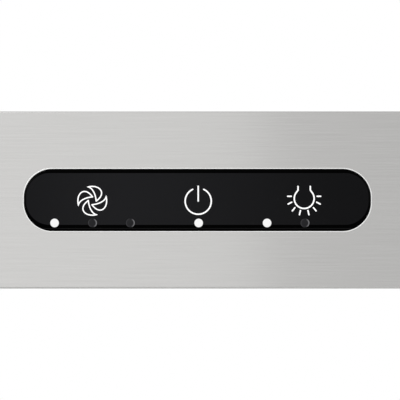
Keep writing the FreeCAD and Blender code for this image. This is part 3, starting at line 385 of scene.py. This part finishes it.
def zinc_fastener():
    """Plated steel of small screws and nuts, slightly warm and mottled."""
    finish = Finish("zinc_fastener", (0.60, 0.59, 0.55), metal=1.0, rough=0.28)
    finish.tint(finish.noise(finish.place(), scale=600.0), 0.9, 1.1)
    return finish.material


def cast_alloy():
    """Die-cast alloy with a gritty skin."""
    finish = Finish("cast_alloy", (0.52, 0.53, 0.54), metal=1.0, rough=0.45)
    grit = finish.noise(finish.place(), scale=900.0, detail=3.0)
    finish.tint(grit, 0.88, 1.08)
    finish.wire("Normal", finish.bump(grit, distance=0.1 * MM, strength=0.5))
    return finish.material


def sheet_alloy():
    """Rolled alloy with streaks along Y."""
    finish = Finish("sheet_alloy", (0.60, 0.60, 0.61), metal=1.0, rough=0.30)
    streak = finish.noise(finish.stretched(finish.place(), (900.0, 12.0, 900.0)), detail=3.0)
    finish.tint(streak, 0.9, 1.08)
    return finish.material


def sintered_bronze():
    """Pressed bronze with fine dark pores."""
    finish = Finish("sintered_bronze", (0.46, 0.31, 0.15), metal=1.0, rough=0.38)
    finish.tint(finish.noise(finish.place(), scale=1500.0), 0.8, 1.15)
    return finish.material


def motor_casing():
    """Black end shields with the bare plates of the core between them."""
    finish = Finish("motor_casing", (0.02, 0.021, 0.024), rough=0.38)
    low, high = packed_box("motor_body")
    along = finish.millimetres()[0]
    core = (along > low[0] + SHIELD_DEPTH) * (along < high[0] - SHIELD_DEPTH)
    plates = finish.wave(along, PLATE_PITCH)
    steel = finish.blend(plates, rgba((0.20, 0.20, 0.21)), rgba((0.42, 0.42, 0.43)))
    finish.wire("Base Color", finish.blend(core, finish.colour, steel))
    finish.wire("Metallic", 0.95 * core)
    return finish.material


# Plastics, boards and rubber

def gloss_black():
    """Deep black with a thin paler line along the moulded lower edge: a painted highlight."""
    finish = Finish("gloss_black", (0.0004, 0.0004, 0.0004), rough=0.12, gloss=0.01)
    up = finish.millimetres()[2]
    # painted highlight: a paler colour in a thin band along the bevel's lower edge
    edge = abs(up - BEZEL_HIGHLIGHT_Z) < BEZEL_HIGHLIGHT_HALF
    finish.wire("Base Color", finish.blend(edge, finish.colour, rgba((0.0100, 0.0100, 0.0104))))
    return finish.material


def smoked_face():
    """Smoked plate whose tint carries a painted sheen: lightest left of its middle and darker towards both
    ends.
    """
    finish = Finish("smoked_face", (0.0121, 0.0122, 0.0136), rough=0.15, gloss=0.05)
    across = finish.millimetres()[0] - PANEL_X
    left = FACE_SHEEN_END_SHARE + (1 - FACE_SHEEN_END_SHARE) * finish.ease(across, *FACE_SHEEN_RISE)
    right = 1 - finish.ease(across, *FACE_SHEEN_FALL)
    haze = finish.noise(finish.place(), scale=60.0)
    # left and right make the painted sheen across the plate; the haze on top is random tone
    finish.tint(left * right + 0.1 * (haze - 0.5), 0.42, 1.0)
    return finish.material


def lit_lens():
    """Light pipe shining evenly, with painted shade where its moulded rim turns away."""
    finish = Finish("lit_lens", (0.5, 0.5, 0.5), rough=0.3, gloss=0.3, glow=0.49)
    rim = finish.node("ShaderNodeAttribute", {"attribute_name": "rim_glint_and_shade"}, output="Fac")
    # painted shade: colour and glow both go dark on the rim
    finish.wire("Base Color", finish.blend(rim, finish.colour, grey(0.02)))
    finish.wire("Emission Color", finish.blend(rim, grey(1.0), grey(0.02)))
    return finish.material


def dark_lens():
    """Smoked light pipe whose moulded edge has a painted glint on one side."""
    finish = Finish("dark_lens", (0.014, 0.014, 0.016), rough=0.25, gloss=0.12)
    rim = finish.node("ShaderNodeAttribute", {"attribute_name": "rim_glint_and_shade"}, output="Fac")
    # painted glint: the rim's colour turns pale where the glint value is high
    finish.wire("Base Color", finish.blend(rim, finish.colour, rgba((0.27, 0.27, 0.28))))
    return finish.material


def white_print():
    """Screened ink, lit from behind, with the faint mottle of its mesh."""
    finish = Finish("white_print", (0.92, 0.92, 0.92), rough=0.5, gloss=0.2, glow=0.36)
    mottle = finish.noise(finish.place(), scale=3000.0)
    finish.tint(mottle, 0.96, 1.03)
    finish.wire("Emission Color", finish.blend(mottle, grey(0.96), grey(1.0)))
    return finish.material


def frosted_window():
    """Frosted cover, brightest over the light behind its middle, with a fine etched grain."""
    finish = Finish("frosted_window", (0.80, 0.80, 0.77), rough=0.5, glow=0.5)
    low, high = packed_box("lamp_lenses")
    radius = (high[1] - low[1]) / 2
    across, along, _ = finish.millimetres()
    side = abs(across) - (high[0] - radius)
    deep = along - (high[1] - radius)
    reach = finish.maths("SQRT", side * side + deep * deep)
    dim = finish.ease(reach, 0.15 * radius, 1.05 * radius)
    etching = finish.noise(finish.place(), scale=1600.0, detail=3.0)
    finish.tint(etching, 0.95, 1.04)
    finish.wire("Roughness", 0.4 + 0.2 * etching)
    finish.wire("Emission Color", finish.blend(dim, rgba((1.0, 0.98, 0.92)), rgba((0.42, 0.41, 0.38))))
    return finish.material


def led_die():
    """Yellow phosphor of the indicator lights, finely grained."""
    finish = Finish("led_die", (0.85, 0.83, 0.62), rough=0.4)
    finish.tint(finish.noise(finish.place(), scale=2500.0), 0.92, 1.05)
    return finish.material


def circuit_board():
    """Green resist over paler copper runs, which are slanting bands that sway a little."""
    finish = Finish("circuit_board", (0.012, 0.11, 0.045), rough=0.32, coat=0.3)
    across, along, up = finish.millimetres()
    sway = RUN_SWAY * finish.noise(finish.place(), scale=160.0, detail=0.0)
    runs = finish.ease(finish.wave(across + along + up + sway, RUN_PITCH), 0.80, 0.90)
    finish.wire("Base Color", finish.blend(0.7 * runs, finish.colour, rgba((0.05, 0.26, 0.10))))
    return finish.material


def moulding(name, colour, rough=0.5):
    """Moulded plastic with a fine spark texture."""
    finish = Finish(name, colour, rough=rough)
    spark = finish.noise(finish.place(), scale=1800.0)
    finish.tint(spark, 0.92, 1.08)
    finish.wire("Normal", finish.bump(spark, distance=0.05 * MM, strength=0.4))
    return finish.material


def ribbon_lead():
    """Parallel wires, along X in front of the corner and along Y past it."""
    finish = Finish("ribbon_lead", (0.42, 0.42, 0.44), rough=0.5)
    low, _ = packed_box("ribbon_cable")
    across, along, _ = finish.millimetres()
    past = along > low[1] + RIBBON_WIDTH
    wires = past * finish.wave(across, WIRE_PITCH) + (1 - past) * finish.wave(along, WIRE_PITCH)
    finish.tint(wires, 0.55, 1.1)
    finish.wire("Normal", finish.bump(wires, distance=0.3 * MM, strength=0.6))
    return finish.material


def foam_strip():
    """Open foam, dark in its pores."""
    finish = Finish("foam_strip", (0.03, 0.03, 0.032), rough=0.9, gloss=0.15)
    pores = finish.noise(finish.place(), scale=1100.0, detail=4.0, rough=0.7)
    finish.tint(pores, 0.6, 1.4)
    finish.wire("Normal", finish.bump(pores, distance=0.4 * MM, strength=0.7))
    return finish.material


def black_rubber():
    """Dull black rubber with a soft mottle."""
    finish = Finish("black_rubber", (0.018, 0.018, 0.019), rough=0.62, gloss=0.3)
    finish.tint(finish.noise(finish.place(), scale=500.0), 0.85, 1.2)
    return finish.material


def dress(material, *names):
    """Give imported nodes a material."""
    for name in names:
        for slot in frame["nodes"][name].material_slots:
            slot.material = material


def dress_solids():
    """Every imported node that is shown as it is. Brushed grain runs along the axes with a low stretch."""
    dress(brushed("front_stainless", STAINLESS, 0.12, (40.0, 40.0, 2400.0), (40.0, 2400.0, 40.0)),
          "canopy_shell")
    dress(brushed("chimney_stainless", STAINLESS, 0.22, (2000.0, 2000.0, 30.0), grain_turn=0.0),
          "lower_chimney", "upper_chimney")
    dress(brushed("pan_stainless", (0.58, 0.575, 0.565), 0.26, (30.0, 30.0, 1600.0), (30.0, 1600.0, 30.0)),
          "filter_pan")
    dress(brushed("filter_stainless", (0.62, 0.62, 0.61), 0.24, (1600.0, 30.0, 1600.0)),
          "left_filter_frame", "left_filter_baffles", "left_filter_pull",
          "right_filter_frame", "right_filter_baffles", "right_filter_pull")
    dress(sprung_strip(), "left_filter_clips", "right_filter_clips", "lamp_clips")
    dress(polished("lamp_trim", (0.72, 0.72, 0.72), 0.14), "lamp_bezels")
    dress(frosted_window(), "lamp_lenses")
    dress(cast_alloy(), "lamp_bodies")
    dress(gloss_black(), "panel_bezel")
    dress(smoked_face(), "touch_face")
    dress(led_die(), "indicator_leds")
    dress(circuit_board(), "touch_board", "power_board")
    dress(moulding("grey_moulding", (0.09, 0.09, 0.10)), "control_housing", "power_box", "power_cover")
    dress(zinc_fastener(), "control_nuts")
    dress(ribbon_lead(), "ribbon_cable")
    dress(moulding("terminal_ivory", (0.72, 0.71, 0.66)), "terminal_block")
    dress(foam_strip(), "motor_box_seal")
    dress(black_rubber(), "cable_grommet", "motor_cushions")
    dress(zinc_sheet(), "motor_box", "scroll_wrapper", "scroll_left_plate", "scroll_right_plate",
          "motor_spider", "chimney_bracket", "capacitor_strap",
          "impeller_plate", "impeller_blades", "impeller_rings")
    dress(sheet_alloy(), "impeller_hub", "left_damper_flap", "right_damper_flap")
    dress(polished("ground_steel", (0.60, 0.60, 0.60), 0.18), "motor_shaft", "damper_pin")
    dress(motor_casing(), "motor_body")
    dress(sintered_bronze(), "motor_bearings")
    dress(moulding("capacitor_case", (0.60, 0.60, 0.58), 0.4), "run_capacitor")
    dress(moulding("collar_plastic", (0.035, 0.035, 0.04)), "duct_collar")


# Surfaces

MERGE_REACH = 1e-7
RIM_STEPS = 6


def full_turn(count):
    """Angles evenly spaced once round, without the one that would repeat the first."""
    return np.linspace(0.0, 2 * np.pi, count, endpoint=False)


def ring_faces(rows, columns):
    """Corner numbers of the faces between a grid's rows, each row being a closed ring."""
    row, column = np.meshgrid(np.arange(rows - 1), np.arange(columns), indexing="ij")
    beside = (column + 1) % columns
    corners = [row * columns + column, row * columns + beside,
               (row + 1) * columns + beside, (row + 1) * columns + column]
    return np.stack(corners, -1).reshape(-1, 4)


def add_piece(name, grids, material, rim_glint_and_shade=None, body="hood"):
    """Grids of points in millimetres, rows by columns by 3, as one smooth mesh that rides on a body.

    The painted glint and shade of a rim, where given, are values for each point that its material reads.
    """
    faces, start = [], 0
    for grid in grids:
        rows, columns = grid.shape[:2]
        faces.append(ring_faces(rows, columns) + start)
        start += rows * columns
    points = np.concatenate([grid.reshape(-1, 3) for grid in grids]) * MM
    mesh = bpy.data.meshes.new(name)
    mesh.from_pydata(points.tolist(), [], np.concatenate(faces).tolist())
    if rim_glint_and_shade is not None:
        mesh.attributes.new("rim_glint_and_shade", "FLOAT", "POINT").data.foreach_set("value", rim_glint_and_shade.ravel())
    shell = bmesh.new()
    shell.from_mesh(mesh)
    bmesh.ops.remove_doubles(shell, verts=shell.verts, dist=MERGE_REACH)
    bmesh.ops.recalc_face_normals(shell, faces=shell.faces)
    shell.to_mesh(mesh)
    shell.free()
    mesh.polygons.foreach_set("use_smooth", np.ones(len(mesh.polygons), bool))
    mesh.materials.append(material)
    piece = bpy.data.objects.new(name, mesh)
    bpy.context.scene.collection.objects.link(piece)
    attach(piece, body)
    return piece


def stroke(path, width, point=1.0):
    """A printed line: a flat oval carried along the path, shrinking to a half circle at each end.

    Its width falls evenly along the path, to the given share of itself at the far end.
    """
    heading = np.gradient(path, axis=0)
    heading /= np.linalg.norm(heading, axis=1, keepdims=True)
    sweep = np.linspace(np.pi / 2, 0.0, CAP_STEPS, endpoint=False)[:, None]
    half = width / 2
    spine = np.concatenate([path[:1] - heading[:1] * half * np.sin(sweep), path,
                            path[-1:] + heading[-1:] * half * point * np.sin(sweep[::-1])])
    heading = np.concatenate([np.repeat(heading[:1], CAP_STEPS, 0), heading,
                              np.repeat(heading[-1:], CAP_STEPS, 0)])
    narrowing = np.linspace(1.0, point, len(path))[:, None]
    share = np.concatenate([np.cos(sweep), narrowing, point * np.cos(sweep[::-1])])
    turn = full_turn(PRINT_SIDES)
    across = share * half * np.cos(turn)
    rise = share * np.where(turn < np.pi, PRINT_RISE, PRINT_SOAK) * np.sin(turn)
    along_x = PANEL_X + spine[:, :1] - heading[:, 1:] * across
    up_z = spine[:, 1:] + heading[:, :1] * across
    return np.stack([along_x, FACE_FRONT - rise, up_z], -1)


def curve(start, first, second, end, count=24):
    """A cubic curve from start to end, drawn towards two handles."""
    t = np.linspace(0.0, 1.0, count)[:, None]
    handles = [np.array(handle) for handle in (start, first, second, end)]
    weights = [(1 - t) ** 3, 3 * t * (1 - t) ** 2, 3 * t ** 2 * (1 - t), t ** 3]
    return sum(weight * handle for weight, handle in zip(weights, handles))


def arc(radius, first, last, count=64):
    """Points on a circle from one angle to another, in degrees clockwise from the top."""
    turn = np.radians(np.linspace(first, last, count))
    return radius * np.stack([np.sin(turn), np.cos(turn)], -1)


def line(start, end, count=6):
    """Points evenly spaced from start to end."""
    return np.linspace(np.array(start), np.array(end), count)


def turned(path, degrees):
    """A path turned about the origin, anticlockwise."""
    turn = math.radians(degrees)
    spin = np.array([[math.cos(turn), -math.sin(turn)], [math.sin(turn), math.cos(turn)]])
    return path @ spin.T


def fan_symbol():
    """Four blades a quarter turn apart, each a full outer edge, a hollow inner one and a pointed tip."""
    tip, tip_end, root = (-1.27, 4.38), (-1.70, 4.40), (1.24, -0.10)
    outer = curve(tip, (2.17, 5.24), (4.84, 2.52), root)
    inner = curve(tip, (0.38, 3.90), (1.08, 1.67), root)
    edges = [(outer, 1.0), (inner, 1.0), (line(tip, tip_end), TIP_POINT)]
    return [stroke(turned(edge, quarter * 90) + FAN_AT, FINE_LINE, point)
            for quarter in range(4) for edge, point in edges]


def power_symbol():
    """A ring open at the top, with an upright bar through the opening."""
    ring = arc(radius=4.12, first=25, last=335)
    bar = line((0.0, 4.72), (0.0, 0.06))
    return [stroke(path + POWER_AT, BOLD_LINE) for path in (ring, bar)]


def lamp_symbol():
    """A hanging bulb: a ring open at the neck, two neck lines and rays below."""
    paths = [arc(radius=3.14, first=45, last=315)]
    rays = [((4.08, 0.71), (5.20, 0.71)), ((3.95, -1.16), (5.05, -1.74)),
            ((2.95, -2.90), (3.74, -3.88)), ((1.19, -3.78), (1.49, -5.11))]
    neck = [((1.94, 3.82), (1.94, 2.69)), ((1.94, 2.69), (2.24, 2.24))]
    for side in (-1, 1):
        paths += [line(*ends) * (side, 1) for ends in rays + neck]
    return [stroke(path + BULB_AT, BOLD_LINE) for path in paths]


def add_symbols():
    """The three printed symbols, each one piece."""
    ink = white_print()
    for name, strokes in (("fan_symbol", fan_symbol()), ("power_symbol", power_symbol()),
                          ("lamp_symbol", lamp_symbol())):
        add_piece(name, strokes, ink)


def lens_grid(x, z, front, back):
    """A turned pin: a low crown, a rounded rim, a straight wall and a flat end, carried round its axis.

    The crown falls with the square of the distance from its middle, and the rim is a quarter circle.
    With the points come the painted glint on the rim's right and the painted shade where the rim turns
    away.
    """
    crown = np.linspace(0.0, LENS_CROWN_SHARE, LENS_CROWN_STEPS)
    rim = np.linspace(0.0, np.pi / 2, RIM_STEPS)[1:]
    rim_share = 1 - LENS_CROWN_SHARE
    share = np.concatenate([crown, LENS_CROWN_SHARE + rim_share * np.sin(rim), [1.0, 0.0]])[:, None]
    crown_depth = LENS_CROWN + (LENS_EDGE - LENS_CROWN) * (crown / LENS_CROWN_SHARE) ** 2
    rim_depth = LENS_EDGE + rim_share * LENS_RADIUS * (1 - np.cos(rim))
    depth = np.concatenate([front + crown_depth, front + rim_depth, [back, back]])[:, None]
    turn = full_turn(LENS_SIDES)
    across, up = LENS_RADIUS * share * np.cos(turn), LENS_RADIUS * share * np.sin(turn)
    grid = np.stack([x + across, np.broadcast_to(depth, across.shape), z + up], -1)
    near = np.clip((np.cos(turn) - GLINT_TURN) / GLINT_TURN_SPAN, 0.0, 1.0)
    far = GLINT_FAR_SHARE * np.clip(-np.cos(turn), 0.0, 1.0)
    glint = np.clip((share - GLINT_START) / GLINT_SPAN, 0.0, 1.0) ** 2 * (near + far)
    shade = np.clip((share - SHADE_START) / SHADE_SPAN, 0.0, 1.0) * np.ones(LENS_SIDES)
    return grid, glint.astype(np.float32), shade.astype(np.float32)


def add_lenses():
    """Indicator lenses: the first of each node is lit and the others rest."""
    shining, resting = lit_lens(), dark_lens()
    for node, count in LENS_COUNTS.items():
        low, high = packed_box(node)
        spots = np.linspace(low[0] + LENS_RADIUS, high[0] - LENS_RADIUS, count)
        for number, spot in enumerate(spots):
            grid, glint, shade = lens_grid(spot, (low[2] + high[2]) / 2, low[1], high[1])
            finish, rim_glint_and_shade = (resting, glint) if number else (shining, shade)
            piece = add_piece(f"{node}_{number + 1}", [grid], finish, rim_glint_and_shade)
            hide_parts(node)


def panel_path(length, height, count=96):
    """Points round the panel's bar, four quarter circles in turn, with the outward heading at each."""
    turn = full_turn(count) + np.pi / count
    out = np.stack([np.cos(turn), np.sin(turn)], -1)
    radius = (height - PANEL_END_FLAT) / 2
    path = out * radius + np.sign(out) * (length / 2 - radius, PANEL_END_FLAT / 2)
    return np.concatenate([path, path[:1]]), np.concatenate([out, out[:1]])


def add_trim():
    """A polished bead round the panel: a bar with a broad flat crown and rounded edges, carried round it.

    Its depth goes with a low power of the sine of the turn, so that it rises at once and then stays flat.
    """
    low, high = packed_box("panel_trim_ring")
    length, _, height = high - low + 2 * TRIM_OVERHANG - TRIM_WIDTH
    path, out = panel_path(length, height)
    turn = full_turn(TRIM_SIDES)
    across = path[:, None] + out[:, None] * (TRIM_WIDTH / 2 * np.cos(turn))[:, None]
    reach = np.where(turn < np.pi, -TRIM_PROUD, TRIM_DEPTH) * np.abs(np.sin(turn)) ** TRIM_ROUNDING
    depth = np.broadcast_to(FASCIA_FRONT + reach, across.shape[:2])
    bead = np.stack([PANEL_X + across[..., 0], depth, across[..., 1]], -1)
    piece = add_piece("panel_trim_bead", [bead], polished("panel_trim", (0.98, 0.98, 0.97), 0.35))
    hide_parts("panel_trim_ring")


def screw_clumps(node):
    """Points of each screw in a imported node: those closer together than a screw is long are one screw."""
    points = np.array([vertex.co for vertex in frame["nodes"][node].data.vertices]) / MM
    while len(points):
        near = np.linalg.norm(points - points[0], axis=1) < CLUMP_REACH
        yield points[near]
        points = points[~near]


def screw_grid(points, axis):
    """A screw's profile carried round its axis, from the middle of the crown to the tip.

    The crown is a low arch that a cross pushes in, and the shank's radius falls and rises once a pitch,
    one turn round the axis being one pitch.
    """
    low, high = points.min(0), points.max(0)
    length = high[axis] - low[axis]
    upper = points[:, axis] > high[axis] - SCREW_HEAD_HEIGHT / 2
    lower = points[:, axis] < low[axis] + SCREW_HEAD_HEIGHT / 2
    inward = -1 if np.ptp(points[upper], 0).max() > np.ptp(points[lower], 0).max() else 1
    head_end = high[axis] if inward < 0 else low[axis]

    crown = np.linspace(0.0, CROWN_SHARE, CROWN_STEPS) * SCREW_HEAD
    rim = np.linspace(0.0, np.pi / 2, RIM_STEPS)[1:]
    rows = int(length / THREAD_PITCH * THREAD_STEPS)
    shank = np.linspace(SCREW_HEAD_HEIGHT, length, rows)
    rim_radius = SCREW_HEAD * (CROWN_SHARE + (1 - CROWN_SHARE) * np.sin(rim))
    rim_depth = CROWN_DROP + RIM_DROP * (1 - np.cos(rim))
    crown_depth = CROWN_DROP * (crown / crown[-1]) ** 2
    radius = np.concatenate([crown, rim_radius, [SCREW_HEAD], np.full(rows, SCREW_RADIUS), [0.0]])[:, None]
    depth = np.concatenate([crown_depth, rim_depth, [SCREW_HEAD_HEIGHT], shank, [length]])[:, None]
    turn = full_turn(SCREW_SIDES)

    across, along = radius * np.cos(turn), radius * np.sin(turn)
    arms = [np.minimum(RECESS_ARM - abs(one), RECESS_HALF - abs(other))
            for one, other in ((across, along), (along, across))]
    push = RECESS_DEPTH * np.clip(np.maximum(*arms) / RECESS_SLOPE, 0.0, 1.0)
    push[len(crown):] = 0.0
    wave = np.abs(2 * ((depth / THREAD_PITCH + turn / (2 * np.pi)) % 1.0) - 1)
    threaded = np.where(radius == SCREW_RADIUS, 1 - THREAD_DEPTH / SCREW_RADIUS * wave, 1.0)

    grid = np.empty((*across.shape, 3))
    first, second = [side for side in range(3) if side != axis]
    middle = (low + high) / 2
    grid[..., first] = middle[first] + across * threaded
    grid[..., second] = middle[second] + along * threaded
    grid[..., axis] = head_end + inward * (depth + push)
    return grid


def add_screws():
    """Cut screws in place of the plain ones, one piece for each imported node."""
    zinc = zinc_fastener()
    for node, axis in SCREW_AXES.items():
        grids = [screw_grid(points, axis) for points in screw_clumps(node)]
        body, = body_of(frame["nodes"][node])
        piece = add_piece(f"{node}_cut", grids, zinc, body=body)
        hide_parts(node)


# Studio

def light_studio():
    """White behind; reflections dim to the right and up behind; an even grey for soft light."""
    world = bpy.data.worlds.new("studio")
    bpy.context.scene.world = world
    world.use_nodes = True
    nodes = Nodes(world.node_tree)
    across, along, up = nodes.parts(nodes.node("ShaderNodeTexCoord", output="Generated"))
    side = nodes.ease(across, SIDE_EDGE - SIDE_BLUR, SIDE_EDGE + SIDE_BLUR)
    wide = nodes.ease(across, -WIDE_BLUR, WIDE_BLUR)
    roof = nodes.ease(up, *ROOF_UP) * nodes.ease(along, *ROOF_BACK)
    seen = (MIRROR_LEVEL - SIDE_DROP * side - WIDE_DROP * wide) * (1 - ROOF_DROP * roof)
    camera, glossy, clear = [nodes.node("ShaderNodeLightPath", output=f"Is {ray} Ray")
                             for ray in ("Camera", "Glossy", "Transmission")]
    mirrored = nodes.blend(glossy + clear, grey(FILL_LEVEL), seen)
    colour = nodes.blend(camera, mirrored, grey(1.0))
    backdrop = nodes.node("ShaderNodeBackground", {}, {"Color": colour, "Strength": 1.0})
    nodes.node("ShaderNodeOutputWorld", {}, {"Surface": backdrop})


def hang_lamps():
    """Broad round lamps that the camera doesn't see, all aimed at the hood."""
    for name, (place, power) in LAMPS.items():
        lamp = bpy.data.lights.new(name, "AREA")
        lamp.shape = "DISK"
        lamp.size = LAMP_SIZE
        lamp.energy = power
        holder = bpy.data.objects.new(name, lamp)
        holder.location = place
        holder.visible_camera = False
        aim = Vector(LAMP_AIM) - Vector(place)
        holder.rotation_mode = "QUATERNION"
        holder.rotation_quaternion = aim.to_track_quat("-Z", "Y")
        bpy.context.scene.collection.objects.link(holder)


def pale_floor():
    """Pale floor that thins out to nothing before its rim."""
    finish = Finish("pale_floor", (0.82, 0.82, 0.82), rough=0.8, gloss=0.1)
    spot = finish.stretched(finish.place(), (1.0, 1.0, 0.0))
    reach = finish.node("ShaderNodeVectorMath", {"operation": "LENGTH"}, {0: spot}, "Value")
    start, end = [share * FLOOR_REACH for share in FLOOR_FADE]
    finish.wire("Alpha", 1 - finish.ease(reach, start, end))
    return finish.material


def lay_floor():
    """A flat disc well below the hood."""
    turn = full_turn(FLOOR_SIDES)
    level = np.full(FLOOR_SIDES, FLOOR_Z)
    rim = np.stack([FLOOR_REACH * np.cos(turn), FLOOR_REACH * np.sin(turn), level], -1)
    mesh = bpy.data.meshes.new("floor")
    mesh.from_pydata(rim.tolist(), [], [list(range(FLOOR_SIDES))])
    mesh.materials.append(pale_floor())
    floor = bpy.data.objects.new("floor", mesh)
    bpy.context.scene.collection.objects.link(floor)


def set_camera():
    """Straight at the control strip, far enough back for a narrow angle."""
    camera = bpy.data.cameras.new("camera")
    camera.lens = FOCAL_LENGTH
    camera.sensor_width = SENSOR_WIDTH
    distance = FOCAL_LENGTH / SENSOR_WIDTH * FRAME_WIDTH
    holder = bpy.data.objects.new("camera", camera)
    holder.location = (PANEL_X * MM + CAMERA_SHIFT, FASCIA_FRONT * MM - distance, 0.0)
    holder.rotation_euler = (math.pi / 2, 0.0, 0.0)
    bpy.context.scene.collection.objects.link(holder)
    bpy.context.scene.camera = holder


dress_solids()
add_symbols()
add_lenses()
add_trim()
add_screws()
light_studio()
hang_lamps()
lay_floor()
set_camera()
bpy.context.scene.view_settings.view_transform = "Standard"
